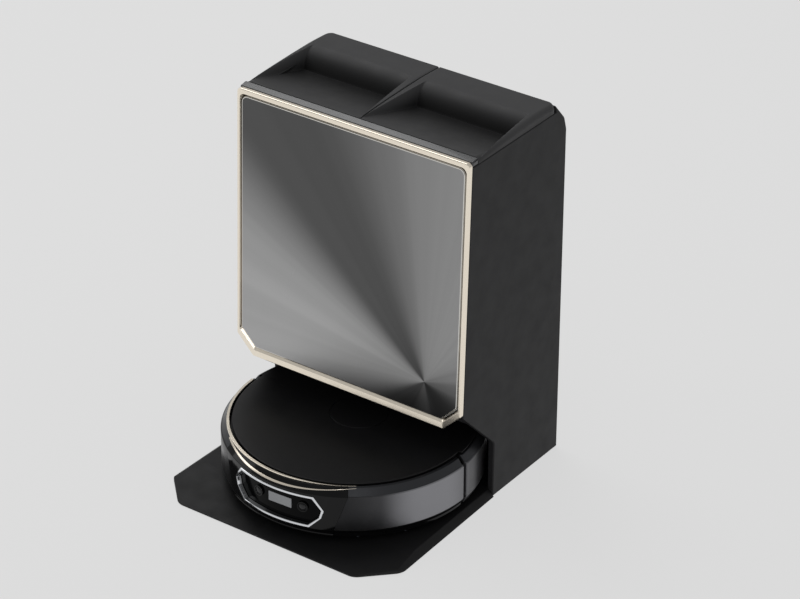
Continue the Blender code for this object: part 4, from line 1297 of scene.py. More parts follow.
@dataclass
class TankLid:
    """Lid of one water tank, with its finger pocket.

    Args:
        side: Which tank it covers.
        body: Body it moves with.
        node: Node of the frame that it stands for.
    """

    side: Side
    body: Body
    node: str
    inner: float = 0.0008
    outer: float = 0.183
    front: float = 0.0058
    rear: float = 0.1805
    flange: float = 0.5208
    core_low: float = 0.506
    shoulder: float = 0.0072
    rib: float = 0.0125
    corner: float = 0.008
    wall_slope: float = 2.1
    wall_curve: float = 2.1
    wall_start: float = 0.1025
    wall_end: float = 0.1390
    floor_low: float = 0.5122
    crease: float = 0.0022
    rim: float = 0.0008
    core_front: float = 0.0140
    core_rear: float = 0.1705

    def crest(self, y: float) -> float:
        """Height of the lid's top at a y, ignoring the pocket."""
        return between(y, ((0.0058, 0.5290), (0.030, 0.5304), (0.060, 0.5318), (0.100, 0.5332), (0.135, 0.5339),
                           (0.150, 0.5338), (0.1805, 0.5325)))

    def edges(self, y: float) -> Flat:
        """Inner and outer x of the pocket at a y; the ribs beside it widen towards the back."""
        share = min(1.0, max(0.0, (y - 0.012) / 0.140))
        return (self.inner + self.rib * share, self.outer - 0.0010 - self.rib * share)

    def depth(self, x: float, y: float) -> float:
        """Depth of the pocket below the top at a point.

        Args:
            x: Distance from the middle.
            y: Distance to the back.

        Returns:
            The depth.
        """
        if y < self.wall_start:
            share = max(0.0, (y - self.front - 0.0015) / (self.wall_start - self.front - 0.0015))
            down = share * (self.crest(self.wall_start) - self.floor_low)
        else:
            share = min(1.0, (y - self.wall_start) / (self.wall_end - self.wall_start))
            down = (self.crest(self.wall_start) - self.floor_low) * (1 - share) ** self.wall_curve
        near, far = self.edges(y)
        cap = max(0.0, min(x - near, far - x)) * self.wall_slope
        mix = max(0.0, self.crease - abs(cap - down)) / self.crease
        return max(0.0, min(cap, down) - mix * mix * self.crease / 4)

    def outer_at(self, y: float) -> float:
        """Outer x of the lid at a y, with its rounded rear corner."""
        late = max(0.0, y - (self.rear - self.corner))
        return self.outer - (self.corner - math.sqrt(max(0.0, self.corner ** 2 - late ** 2))) * 0.8

    def top(self, x: float, y: float) -> float:
        """Height of the lid's top with its pocket, rounded rims and shoulder.

        Args:
            x: Distance from the middle.
            y: Distance to the back.

        Returns:
            The height.
        """
        z = self.crest(y) - self.depth(x, y)
        over = x - (self.outer_at(y) - self.shoulder)
        if over > 0:
            z -= self.shoulder - math.sqrt(max(0.0, self.shoulder ** 2 - over ** 2))
        for reach in (x - self.inner, y - self.front, self.rear - y):
            if reach < self.rim:
                z -= self.rim - math.sqrt(max(0.0, self.rim ** 2 - (self.rim - reach) ** 2))
        return z

    def columns(self, y: float) -> list[float]:
        """x of the section's points at a y, closer together where the surface turns.

        Args:
            y: Distance to the back.

        Returns:
            Values of x in order.
        """
        near, far = self.edges(y)
        reach = 0.0130
        outer = self.outer_at(y)
        shoulder = outer - self.shoulder
        start = min(near, shoulder)
        xs = [self.inner + (start - self.inner) * share for share in (0.0, 0.1, 0.25, 0.5, 0.75)]
        xs += [start + reach * k / 14 for k in range(15)]
        xs += [start + reach + (far - near - 2 * reach) * k / 12 for k in range(1, 12)]
        stop = far - reach
        xs += [stop + (shoulder - stop) * k / 16 for k in range(17)]
        xs += [shoulder + self.shoulder * math.sin(math.pi / 2 * k / 10) for k in range(1, 11)]
        return xs

    def rows(self) -> list[float]:
        """y of the grid's lines.

        Returns:
            Values of y in order.
        """
        ys = [self.front + d for d in (0.0, 0.0002, 0.0005, 0.0009, 0.0015, 0.003)]
        ys += [0.012 + 0.0055 * k for k in range(17)]
        ys += [self.wall_start - 0.0015 + 0.0011 * k for k in range(36)]
        ys += [0.145, 0.155, 0.165, self.core_rear, 0.173, 0.1755, 0.1775, 0.1788]
        ys += [self.rear - d for d in (0.0, 0.0002, 0.0005, 0.0009, 0.003)]
        return sorted(set(round(y, 6) for y in ys))

    def section(self, y: float) -> list[Point]:
        """Closed cross-section of the lid at a y.

        Args:
            y: Distance to the back.

        Returns:
            The loop.
        """
        sign = self.side.value
        loop = [(sign * x, y, self.top(x, y)) for x in self.columns(y)]
        inside = self.core_front < y < self.core_rear
        core = self.core_low if inside else self.flange
        under = [(self.outer_at(y), self.flange), (0.1685, self.flange), (0.1684, core), (0.12, core), (0.06, core),
                 (0.0061, core), (0.0060, self.flange), (self.inner, self.flange)]
        return loop + [(sign * x, y, z) for x, z in under]

    def build(self) -> None:
        """Build the lid as sections from front to back."""
        steps = [y + side for y in (self.core_front, self.core_rear) for side in (-0.00005, 0.00005)]
        loops = [self.section(y) for y in sorted(self.rows() + steps)]
        Shape().loft(loops).build("lid_with_grip_" + self.side.word, LID_ABS, self.body, [self.node], 38)


# ---- robot
@dataclass
class RobotSizes:
    """Sizes that the robot's parts share."""

    centre_y: float = AXIS_Y
    radius: float = 0.1775
    low: float = 0.0175
    shoulder: float = 0.079
    rim: float = 0.0893
    deck: float = 0.084
    cover_top: float = 0.0916
    step_angle: float = 92.8
    bumper_end: float = 89.7

    def spot(self, angle: float, radius: float, z: float) -> Point:
        """A point about the robot's axis; the angle starts at the front and grows to the right."""
        turn = math.radians(angle)
        return (radius * math.sin(turn), self.centre_y - radius * math.cos(turn), z)

    def two_radius(self, front: float, rear: float, split: float, count: int = 160) -> list[Flat]:
        """Plan with one radius over the front arc and another over the rear arc.

        Args:
            front: Radius in front.
            rear: Radius behind.
            split: Angle where they meet.
            count: Number of points.

        Returns:
            Points in order.
        """
        points = []
        half = count // 2
        for step in range(half + 1):
            points.append(self.spot(-split + 2 * split * step / half, front, 0.0)[:2])
        for step in range(half + 1):
            points.append(self.spot(split + (360 - 2 * split) * step / half, rear, 0.0)[:2])
        return points


ROBOT = RobotSizes()


@dataclass
class Bumper:
    """Gloss front, painted sides and trim lines."""

    inner: float = 0.1735
    border_low: float = 27.6
    border_high: float = 34.0
    seam: float = 0.12
    trim_start: float = -88.5
    trim_stop: float = 37.5
    dip_start: float = -38.0
    side_steps: int = 40

    def profile(self) -> list[Flat]:
        """Upright section as (radius, z), with rounded turns.

        Returns:
            The outline.
        """
        r = ROBOT.radius
        return filleted([(self.inner, ROBOT.low, 0.0), (r - 0.0045, ROBOT.low, 0.0015), (r, ROBOT.low + 0.0085, 0.0020),
                         (r, ROBOT.shoulder, 0.0022), (CHAMFER_R, ROBOT.rim - 0.0004, 0.0012),
                         (INNER_RIM_R, ROBOT.rim, 0.0), (INNER_RIM_R, ROBOT.rim - 0.0016, 0.0),
                         (self.inner, ROBOT.shoulder - 0.001, 0.0)], 4)

    def border(self, z: float) -> float:
        """Angle of the slanted border between gloss front and painted side, at a height."""
        share = min(1.0, max(0.0, (z - 0.024) / 0.055))
        return self.border_low + (self.border_high - self.border_low) * share

    def halves(self) -> list[tuple[str, Finish, list[Flat]]]:
        """Sections of the painted side, of the dark band above it and of the skirt below it.

        Returns:
            Start of the pieces' names, finish and section of each.
        """
        r = ROBOT.radius
        base = ROBOT.low + 0.0105
        skirt = filleted([(self.inner, ROBOT.low, 0.0), (r - 0.0060, ROBOT.low, 0.0015),
                          (r - 0.0006, base - 0.0006, 0.0020), (r - 0.0010, base, 0.0), (self.inner, base, 0.0)], 4)
        lower = filleted([(self.inner, base + 0.0001, 0.0), (r - 0.0006, base + 0.0001, 0.0),
                          (r, base + 0.0008, 0.0004), (r, ROBOT.shoulder, 0.0016),
                          (r - 0.0012, ROBOT.shoulder + 0.0010, 0.0),
                          (self.inner, ROBOT.shoulder, 0.0)], 4)
        upper = filleted([(self.inner, ROBOT.shoulder + 0.0001, 0.0), (r - 0.0014, ROBOT.shoulder + 0.0008, 0.0),
                          (CHAMFER_R, ROBOT.rim - 0.0004, 0.0012), (INNER_RIM_R, ROBOT.rim, 0.0),
                          (INNER_RIM_R, ROBOT.rim - 0.0016, 0.0)], 4)
        return [("bumper_wing_", GREY_PAINT, lower), ("bumper_band_", DARK_PAINT, upper),
                ("bumper_skirt_", PIANO_BLACK, skirt)]

    def build_sides(self) -> None:
        """Painted sides, whose rear ends turn inwards, with a dark band along the top."""
        for label, finish, profile in self.halves():
            middle = (sum(r for r, _ in profile) / len(profile), 0.05)
            for side in Side:
                loops = []
                for step in range(self.side_steps + 1):
                    loop = []
                    for r, z in profile:
                        reach = ROBOT.bumper_end - self.border(z) - self.seam
                        angle = self.border(z) + self.seam + reach * (step / self.side_steps)
                        loop.append(ROBOT.spot(side.value * angle, r, z))
                    loops.append(loop)
                for angle, shrink in ((0.35, 0.03), (0.6, 0.10), (0.8, 0.25)):
                    loops.append([ROBOT.spot(side.value * (ROBOT.bumper_end + angle), r + (middle[0] - r) * shrink,
                                             z + (middle[1] - z) * shrink * 0.12) for r, z in profile])
                replaces = ["bumper_side_" + side.word] if label == "bumper_wing_" else []
                Shape().loft(loops).build(label + side.word, finish, Body.BUMPER, replaces, 26)

    def build_front(self) -> None:
        """Gloss front with the camera's window cut through it."""
        profile = self.profile()
        loops = []
        for step in range(57):
            share = -1 + 2 * step / 56
            loops.append([ROBOT.spot(share * self.border(z), r, z) for r, z in profile])
        front = Shape().loft(loops).solid("gloss_front")
        carved(front, [CAMERA.wrapped(0.0008, 0.168, 0.184).solid("camera_cut")])
        dress(front, PIANO_BLACK, Body.BUMPER, ["bumper_front"], 26)

    def trim_loop(self, angle: float, share: float, width: float) -> list[Point]:
        """Section of a trim line lying on the bumper's chamfer, share of the way down it.

        Args:
            angle: Where on the bumper.
            share: How far down the chamfer.
            width: Width of the line.

        Returns:
            The loop.
        """
        chamfer = (Vector((CHAMFER_R, ROBOT.rim - 0.0004)), Vector((ROBOT.radius, ROBOT.shoulder)))
        down = (chamfer[1] - chamfer[0]).normalized()
        out = Vector((-down.y, down.x))
        base = chamfer[0].lerp(chamfer[1], share)
        spots = [base - down * width / 2 - out * 0.0004, base + down * width / 2 - out * 0.0004,
                 base + down * width / 2 + out * 0.00025, base + out * 0.00045, base - down * width / 2 + out * 0.00025]
        return [ROBOT.spot(angle, spot.x, spot.y) for spot in spots]

    def build_trim(self) -> None:
        """Champagne line along the cover's edge, and a second that dips over the front."""
        inner = []
        for step in range(121):
            share = step / 120
            angle = self.trim_start + (self.trim_stop - self.trim_start) * share
            width = 0.0040 - 0.0034 * smooth_step((share - 0.45) / 0.55)
            low_r, z = 0.1656, ROBOT.rim + 0.0001
            rise = min(0.0015, width)
            section = [(low_r, z), (low_r + width, z), (low_r + width * 0.92, z + rise * 0.9),
                       (low_r + width * 0.08, z + rise)]
            inner.append([ROBOT.spot(angle, r, height) for r, height in section])
        Shape().loft(inner).build("trim_line_inner", CHAMPAGNE, Body.BUMPER, ["trim_arc"], 30)
        outer = []
        for step in range(81):
            share = step / 80
            dip = 0.05 + 0.62 * max(0.0, math.sin(math.pi * share)) ** 1.15
            width = 0.0030 * (1 - 0.85 * smooth_step((share - 0.45) / 0.55))
            angle = self.dip_start + (self.trim_stop - self.dip_start) * share
            outer.append(self.trim_loop(angle, dip, width))
        Shape().loft(outer).build("trim_line_outer", CHAMPAGNE, Body.BUMPER, [], 30)
        end = [self.trim_loop(angle, 0.42, 0.0100) for angle in (-ROBOT.bumper_end + 0.1, -ROBOT.bumper_end + 1.0)]
        Shape().loft(end).build("trim_line_end", CHAMPAGNE, Body.BUMPER, [], 30)

    def build(self) -> None:
        """Build the bumper."""
        self.build_sides()
        self.build_front()
        self.build_trim()


@dataclass
class CameraUnit:
    """Chrome bezel, window, lenses and light sensor on the bumper's front."""

    window_r: float = 0.1722
    face_r: float = 0.1775
    arc: float = 0.0031
    middle_z: float = 0.052
    lens_z: float = 0.0545
    sensor_angle: float = 2.6

    def outline(self, margin: float) -> list[Flat]:
        """Elongated eight-sided outline as (angle, z), with evenly divided edges.

        Args:
            margin: How far inside the bezel's outer edge, in metres.

        Returns:
            Points in order, the same number for every margin.
        """
        side = math.degrees(margin / ROBOT.radius)
        corners = [(-17.5 + side * 0.5, 0.0275 + margin), (17.5 - side * 0.5, 0.0275 + margin),
                   (23.0 - side, 0.0450), (24.0 - side, 0.0560), (19.5 - side * 0.7, 0.0760 - margin),
                   (-19.5 + side * 0.7, 0.0760 - margin), (-24.0 + side, 0.0560), (-23.0 + side, 0.0450)]
        soft = filleted([(a * self.arc, z, 0.0018) for a, z in corners], 3)
        points = []
        for index, here in enumerate(soft):
            after = soft[(index + 1) % len(soft)]
            pieces = 28 if abs(after[0] - here[0]) > 0.06 else 2
            for step in range(pieces):
                mix = step / pieces
                points.append(((here[0] + (after[0] - here[0]) * mix) / self.arc,
                               here[1] + (after[1] - here[1]) * mix))
        return points

    def wrapped(self, margin: float, low_r: float, high_r: float) -> Shape:
        """Solid of the outline between two radii, bent round the bumper.

        Args:
            margin: How far inside the bezel's edge.
            low_r: Inner radius.
            high_r: Outer radius.

        Returns:
            The solid.
        """
        ring = self.outline(margin)
        loops = [[ROBOT.spot(angle, radius, z) for angle, z in ring] for radius in (low_r, high_r)]
        shape = Shape().loft(loops, capped=False)
        count = len(ring)
        for layer, radius in enumerate((low_r, high_r)):
            spine = [ROBOT.spot(angle, radius, self.middle_z) for angle, _ in ring]
            start = len(shape.points)
            shape.points.extend(spine)
            for index in range(count):
                after = (index + 1) % count
                shape.faces.append((layer * count + index, layer * count + after, start + after, start + index))
        return shape

    def build_bezel(self) -> None:
        """Chrome bezel: a narrow bright face and a deep inner wall."""
        loops = []
        for margin, radius in ((0.0009, self.face_r - 0.0016), (0.0001, self.face_r + 0.0002),
                               (0.0003, self.face_r + 0.0010), (0.0009, self.face_r + 0.0013),
                               (0.0031, self.face_r + 0.0012), (0.0036, self.face_r + 0.0008),
                               (0.0042, self.window_r + 0.0008), (0.0036, self.window_r + 0.0006)):
            loops.append([ROBOT.spot(angle, radius, z) for angle, z in self.outline(margin)])
        Shape().loft(loops, ring=True).build("camera_frame", CHROME, Body.BUMPER, ["camera_bezel"], 30)

    def build_window(self) -> None:
        """Gloss window behind the bezel."""
        shape = self.wrapped(0.0012, self.window_r - 0.0012, self.window_r)
        shape.build("camera_pane", WINDOW_BLACK, Body.BUMPER, ["camera_window"], 40)

    def disc(self, angle: float, z: float, rings: Sequence[Flat], name: str, finish: Finish,
             nodes: Sequence[str]) -> None:
        """Turn a small round part that looks out of the window.

        Args:
            angle: Where it stands on the bumper.
            z: Its height.
            rings: Radius and distance in front of the window, from back to front.
            name: Name of the piece.
            finish: Its surface.
            nodes: Nodes that it stands for.
        """
        turn = Matrix.Rotation(math.radians(angle), 3, "Z")
        centre = Vector(ROBOT.spot(angle, self.window_r, z))
        loops = []
        for radius, out in rings:
            loops.append([tuple(centre + turn @ Vector((a, -out, b))) for a, b in circle(radius, count=48)])
        Shape().loft(loops).build(name, finish, Body.BUMPER, nodes, 30)

    def build_lenses(self) -> None:
        """Two lenses, each a stepped barrel with a domed glass."""
        barrel = [(0.0074, 0.0001), (0.0076, 0.0020), (0.0072, 0.0026), (0.0062, 0.0026), (0.0056, 0.0016),
                  (0.0050, 0.0014)]
        glass = [(0.0049, 0.0010)] + [(0.0049 * math.cos(a), 0.0014 + 0.0016 * math.sin(a))
                                      for a in (0.0, 0.3, 0.6, 0.9, 1.2, 1.45)]
        for side, angle in ((Side.LEFT, -9.0), (Side.RIGHT, 14.0)):
            self.disc(angle, self.lens_z, barrel, "lens_barrel_" + side.word, PIANO_BLACK, [])
            self.disc(angle, self.lens_z, glass, "lens_glass_" + side.word, LENS_GLASS, ["camera_lens_" + side.word])

    def build_sensor(self) -> None:
        """Pale pane of the light sensor between the lenses."""
        loops = []
        for radius, grow in ((self.window_r + 0.0002, 0.0), (self.window_r + 0.0009, 0.0),
                             (self.window_r + 0.0012, -0.0005)):
            corners = filleted([(-0.018 - grow, 0.0475 - grow, 0.001), (0.018 + grow, 0.0475 - grow, 0.001),
                                (0.018 + grow, 0.0618 + grow, 0.001), (-0.018 - grow, 0.0618 + grow, 0.001)], 3)
            loops.append([ROBOT.spot(self.sensor_angle + math.degrees(a / radius), radius, z) for a, z in corners])
        Shape().loft(loops).build("light_sensor_pane", SENSOR_PANE, Body.BUMPER, ["sensor_window"], 30)

    def build(self) -> None:
        """Build the camera unit."""
        self.build_bezel()
        self.build_window()
        self.build_lenses()
        self.build_sensor()


CAMERA = CameraUnit()


@dataclass
class RobotShell:
    """Round body, its deck, the top cover and the button."""

    front_wall: float = 0.1640
    inner_front: float = 0.1595
    inner_rear: float = 0.1728
    seat: float = 0.1675
    cover_front: float = 0.1623
    cover_rear: float = 0.1668
    button_r: float = 0.039
    button_y: float = 0.002
    deck_low: float = 0.0792
    well_x: float = 0.123
    well_half: float = 0.0155
    wall_low: float = 0.0264
    wall_high: float = 0.0790
    strip_inner: float = 0.1690
    strip_outer: float = 0.1726
    turn_in: float = 0.024
    screw_circle: float = 0.146

    def build_rear_shell(self) -> None:
        """Wide rear wall, with the same section as the bumper and turned-in ends."""
        r = ROBOT.radius
        lower = filleted([(self.inner_rear, ROBOT.low, 0.0), (r - 0.0045, ROBOT.low, 0.001),
                          (r, ROBOT.low + 0.0095, 0.0018), (r, ROBOT.shoulder, 0.0016),
                          (r - 0.0012, ROBOT.shoulder + 0.0010, 0.0), (self.inner_rear, ROBOT.shoulder, 0.0)], 4)
        upper = filleted([(self.inner_rear, ROBOT.shoulder + 0.0001, 0.0), (r - 0.0014, ROBOT.shoulder + 0.0008, 0.0),
                          (CHAMFER_R, ROBOT.rim - 0.0002, 0.0010), (self.seat, ROBOT.rim, 0.0),
                          (self.seat, ROBOT.deck - 0.0004, 0.0)], 4)
        start, stop = ROBOT.step_angle, 360 - ROBOT.step_angle
        ends = ((0.0, 0.10), (0.25, 0.03), (0.55, 0.0))
        for name, finish, profile, nodes in (("body_rear_shell", GREY_PAINT, lower, ["robot_body"]),
                                             ("body_rear_band", DARK_PAINT, upper, [])):
            loops = []
            for angle, shrink in ends:
                loops.append([ROBOT.spot(start + angle, r0 - self.turn_in * shrink, z) for r0, z in profile])
            for step in range(1, 80):
                loops.append([ROBOT.spot(start + (stop - start) * step / 80, r0, z) for r0, z in profile])
            for angle, shrink in reversed(ends):
                loops.append([ROBOT.spot(stop - angle, r0 - self.turn_in * shrink, z) for r0, z in profile])
            Shape().loft(loops).build(name, finish, Body.ROBOT, nodes, 26)

    def build_deck(self) -> None:
        """Deck under the cover, open over the dust bin, and the front wall below it."""
        outline = ROBOT.two_radius(self.front_wall, self.seat - 0.0001, ROBOT.step_angle + 1.6)
        deck = Shape().plate(outline, self.deck_low, ROBOT.deck, 0.0004, along_z, 2).solid("body_deck")
        cuts = [Shape().box((-0.064, 0.036, 0.06), (0.064, 0.100, 0.12), 0.004).solid("bin_cut")]
        for side in Side:
            middle = side.value * self.well_x
            cuts.append(Shape().box((middle - self.well_half, -0.052, 0.070),
                                    (middle + self.well_half, 0.022, 0.0826)).solid("well_cut"))
        carved(deck, cuts)
        dress(deck, INNER_ABS, Body.ROBOT)
        profile = [(self.inner_front, self.wall_low), (self.front_wall, self.wall_low),
                   (self.front_wall, self.wall_high), (self.inner_front, self.wall_high)]
        loops = [[ROBOT.spot(-96 + 192 * step / 60, r, z) for r, z in profile] for step in range(61)]
        Shape().loft(loops).build("body_front_wall", DARK_PAINT, Body.ROBOT)
        low, high = ROBOT.low + 0.0100, ROBOT.shoulder - 0.0020
        for side in Side:
            section = [(self.strip_inner, low), (self.strip_outer, low), (self.strip_outer, high),
                       (self.strip_inner, high)]
            strip = [[ROBOT.spot(side.value * angle, r, z) for r, z in section] for angle in (87.6, 90.0, 92.6)]
            Shape().loft(strip).build("body_seam_strip_" + side.word, GREY_PAINT, Body.ROBOT)
        studs = [ROBOT.spot(angle, self.screw_circle, ROBOT.deck + 0.0001) for angle in range(15, 360, 45)]
        peg_ring().run("deck_screws", CAST_METAL, Body.ROBOT, points_mesh("deck_studs", studs),
                       size=(0.0028, 0.0, 0.0003))

    def build_cover(self) -> None:
        """Matte cover with a rounded rim and a seat for the button."""
        outline = ROBOT.two_radius(self.cover_front, self.cover_rear, ROBOT.step_angle + 1.4)
        low = ROBOT.deck + 0.0003
        loops = [[(a, b, low) for a, b in inset(outline, 0.0026)], [(a, b, 0.0880) for a, b in inset(outline, 0.0026)],
                 [(a, b, 0.0893) for a, b in inset(outline, 0.0006)]]
        loops += [[(a, b, ROBOT.cover_top - rise) for a, b in inset(outline, gap)]
                  for gap, rise in reversed(quarter(0.0012, 4))]
        turns = [math.atan2(b - self.button_y, a) for a, b in outline]
        top, seat = ROBOT.cover_top, self.button_r
        for radius, middle, z in ((0.120, ROBOT.centre_y * 0.6, top), (0.080, self.button_y, top),
                                  (seat + 0.0013, self.button_y, top), (seat + 0.0009, self.button_y, top - 0.0002),
                                  (seat + 0.0007, self.button_y, top - 0.0008), (seat + 0.0007, self.button_y, 0.0879)):
            loops.append([(radius * math.cos(t), middle + radius * math.sin(t), z) for t in turns])
        Shape().loft(loops).build("top_plate", BLACK_COVER, Body.COVER, ["robot_top_cover"], 30)

    def build_button(self) -> None:
        """Round button with a softened rim."""
        ring = circle(self.button_r, (0.0, self.button_y), 128)
        Shape().plate(ring, 0.0895, ROBOT.cover_top, 0.0007, along_z, 4).build(
            "round_button", BLACK_COVER, Body.BUTTON, ["control_button"], 30)

    def build(self) -> None:
        """Build the shell."""
        self.build_rear_shell()
        self.build_deck()
        self.build_cover()
        self.build_button()


@dataclass
class RunningGear:
    """Wheels and brushes under the robot."""

    tyre_bore: float = 0.0250
    hub_half: float = 0.0100
    core_radius: float = 0.0118
    blades: int = 6
    blade_twist: float = math.radians(70)
    sweeper_at: Flat = (0.108, -0.104)
    sweeper_turn: float = math.radians(19)
    bristle_z: float = 0.0146

    def wheel(self, side: Side, body: Body) -> None:
        """Tyre with chevron lugs and a turned hub.

        Args:
            side: Which side it is on.
            body: Body of the frame it moves with.
        """
        low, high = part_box("drive_tyre_" + side.word)
        centre = (low + high) / 2
        radius = (high.z - low.z) / 2
        width = high.x - low.x
        lugs = 30
        loops = []
        for column in range(9):
            share = column / 8
            x = low.x + width * share
            crown = 0.0016 * (2 * share - 1) ** 2
            skew = 0.10 * abs(2 * share - 1)
            loop = []
            for index in range(lugs):
                for part, drop in ((0.0, 0.0), (0.45, 0.0), (0.55, 0.0020), (0.90, 0.0020)):
                    a = math.tau * (index + part) / lugs + skew
                    r = radius - crown - drop
                    loop.append((x, centre.y + r * math.cos(a), centre.z + r * math.sin(a)))
            loops.append(loop)
        bore = [hoop(self.tyre_bore, (centre.y, centre.z), x, along_x, len(loops[0])) for x in (high.x, low.x)]
        Shape().loft(loops + bore, ring=True).build("tyre_" + side.word, TYRE_RUBBER, body,
                                                    ["drive_tyre_" + side.word], 30)
        rings = [(0.0246, 0.0), (0.0246, 0.0195), (0.0236, 0.0200), (0.0200, 0.0200), (0.0190, 0.0170),
                 (0.0090, 0.0160), (0.0080, 0.0200), (0.0072, 0.0203)]
        start = centre.x - side.value * self.hub_half
        hub = [hoop(r, (centre.y, centre.z), start + side.value * out, along_x, 64) for r, out in rings]
        Shape().loft(hub).build("hub_" + side.word, HUB_ABS, body, ["drive_hub_" + side.word], 30)

    def roller(self) -> None:
        """Main brush: a core with twisted soft blades."""
        low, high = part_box("roller_brush")
        centre = (low + high) / 2
        half = (high.x - low.x) / 2
        reach = (high.z - low.z) / 2
        core = [hoop(self.core_radius, (centre.y, centre.z), x, along_x, 48) for x in (low.x, high.x)]
        Shape().loft(core).build("roller_core", INNER_ABS, Body.ROLLER, ["roller_brush"], 40)
        blades = Shape()
        for blade in range(self.blades):
            loops = []
            for step in range(41):
                share = 2 * step / 40 - 1
                turn = self.blade_twist * abs(share) + math.tau * blade / self.blades
                loop = []
                for lean, r in ((-0.07, 0.0112), (-0.05, reach * 0.75), (-0.02, reach), (0.02, reach),
                                (0.05, reach * 0.75), (0.07, 0.0112)):
                    loop.append((centre.x + half * share * 0.995, centre.y + r * math.cos(turn + lean),
                                 centre.z + r * math.sin(turn + lean)))
                loops.append(loop)
            blades.loft(loops)
        blades.build("roller_blades", BRUSH_TPU, Body.ROLLER, [], 35)

    def sweeper(self) -> None:
        """Side brush: a hub and three arms that end in bristle."""
        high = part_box("side_brush")[1]
        x, y = self.sweeper_at
        hub = [(0.0100, 0.0128), (0.0100, 0.0175), (0.0085, 0.0190), (0.0080, 0.0295), (0.0075, high.z)]
        loops = [hoop(r, self.sweeper_at, z, along_z, 40) for r, z in hub]
        Shape().loft(loops).build("sweeper_hub", HUB_ABS, Body.SWEEPER, ["side_brush"], 35)
        arms = Shape()
        strands = Shape()
        for index in range(3):
            turn = Matrix.Rotation(index * math.tau / 3 + self.sweeper_turn, 3, "Z")
            sections = []
            for reach, half, z in ((0.0085, 0.0040, 0.0150), (0.014, 0.0034, 0.0148), (0.020, 0.0026, self.bristle_z)):
                ring = [(reach, -half, z - 0.0014), (reach, half, z - 0.0014), (reach, half, z + 0.0012),
                        (reach, -half, z + 0.0012)]
                sections.append([tuple(Vector((x, y, 0)) + turn @ Vector(p)) for p in ring])
            arms.loft(sections)
            for strand in range(16):
                spread = (strand - 7.5) / 7.5
                lift = 0.0004 * ((strand * 7) % 3)
                loops = []
                for reach, drop, size in ((0.018, 0.0, 0.00032), (0.029, 0.0002, 0.00030), (0.0405, 0.0008, 0.00016)):
                    away = spread * (0.0020 + (reach - 0.018) * 0.16)
                    loops.append([tuple(Vector((x, y, 0)) + turn @ Vector(
                        (reach, away + size * math.cos(math.tau * i / 5),
                         self.bristle_z + lift - drop + size * math.sin(math.tau * i / 5)))) for i in range(5)])
                strands.loft(loops)
        arms.build("sweeper_arms", BRUSH_TPU, Body.SWEEPER, [], 35)
        strands.build("sweeper_bristles", BRUSH_TPU, Body.SWEEPER, [], 50)

    def build(self) -> None:
        """Build the running gear."""
        self.wheel(Side.LEFT, Body.WHEEL_LEFT)
        self.wheel(Side.RIGHT, Body.WHEEL_RIGHT)
        self.roller()
        self.sweeper()


@dataclass
class MopPads:
    """Round microfibre pads under their plates."""

    pile: float = 0.0016
    density: float = 160000.0
    fit: float = 0.995
    pile_hole: float = 0.006
    pile_reach: float = 0.82
    pile_sides: int = 64

    def pad(self, side: Side, body: Body) -> None:
        """One crowned pad with a sewn edge and looped pile below.

        Args:
            side: Which side it is on.
            body: Body of the frame it moves with.
        """
        low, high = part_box("mop_pad_" + side.word)
        centre = (low + high) / 2
        radius = (high.x - low.x) / 2
        thick = high.z - low.z
        rings = []
        for share, level in ((0.10, 1.0), (0.80, 1.0), (0.93, 0.97), (0.985, 0.80), (1.0, 0.55), (0.985, 0.32),
                             (0.95, 0.22), (0.90, 0.26), (0.84, 0.14), (0.55, 0.10), (0.10, 0.10)):
            loop = []
            for step in range(96):
                a = math.tau * step / 96
                ripple = 1 + 0.004 * math.sin(24 * a) * (1 if share > 0.9 else 0)
                loop.append((centre.x + radius * self.fit * share * ripple * math.cos(a),
                             centre.y + radius * self.fit * share * ripple * math.sin(a), low.z + thick * level))
            rings.append(loop)
        pad = Shape().loft(rings).build("mop_cloth_" + side.word, MICROFIBRE, body, ["mop_pad_" + side.word], 60)
        under = Shape()
        count = self.pile_sides
        for reach in (self.pile_hole, radius * self.pile_reach):
            under.points += hoop(reach, (centre.x, centre.y), low.z + thick * 0.11, along_z, count)
        under.faces = [((i + 1) % count, i, count + i, count + (i + 1) % count) for i in range(count)]
        base = under.solid("pile_base")
        for face in base.data.polygons:
            face.flip()
        pile = tuft_field().run("mop_pile_" + side.word, MICROFIBRE, body, base.data, size=(0.0007, 0.0003, self.pile),
                                radius=self.density, seed=11 + side.value)
        bpy.data.objects.remove(base, do_unlink=True)
        LOG.info("%s has its pile of %d faces", pad.name, len(pile.data.polygons))

    def build(self) -> None:
        """Build both pads."""
        self.pad(Side.LEFT, Body.MOP_LEFT)
        self.pad(Side.RIGHT, Body.MOP_RIGHT)


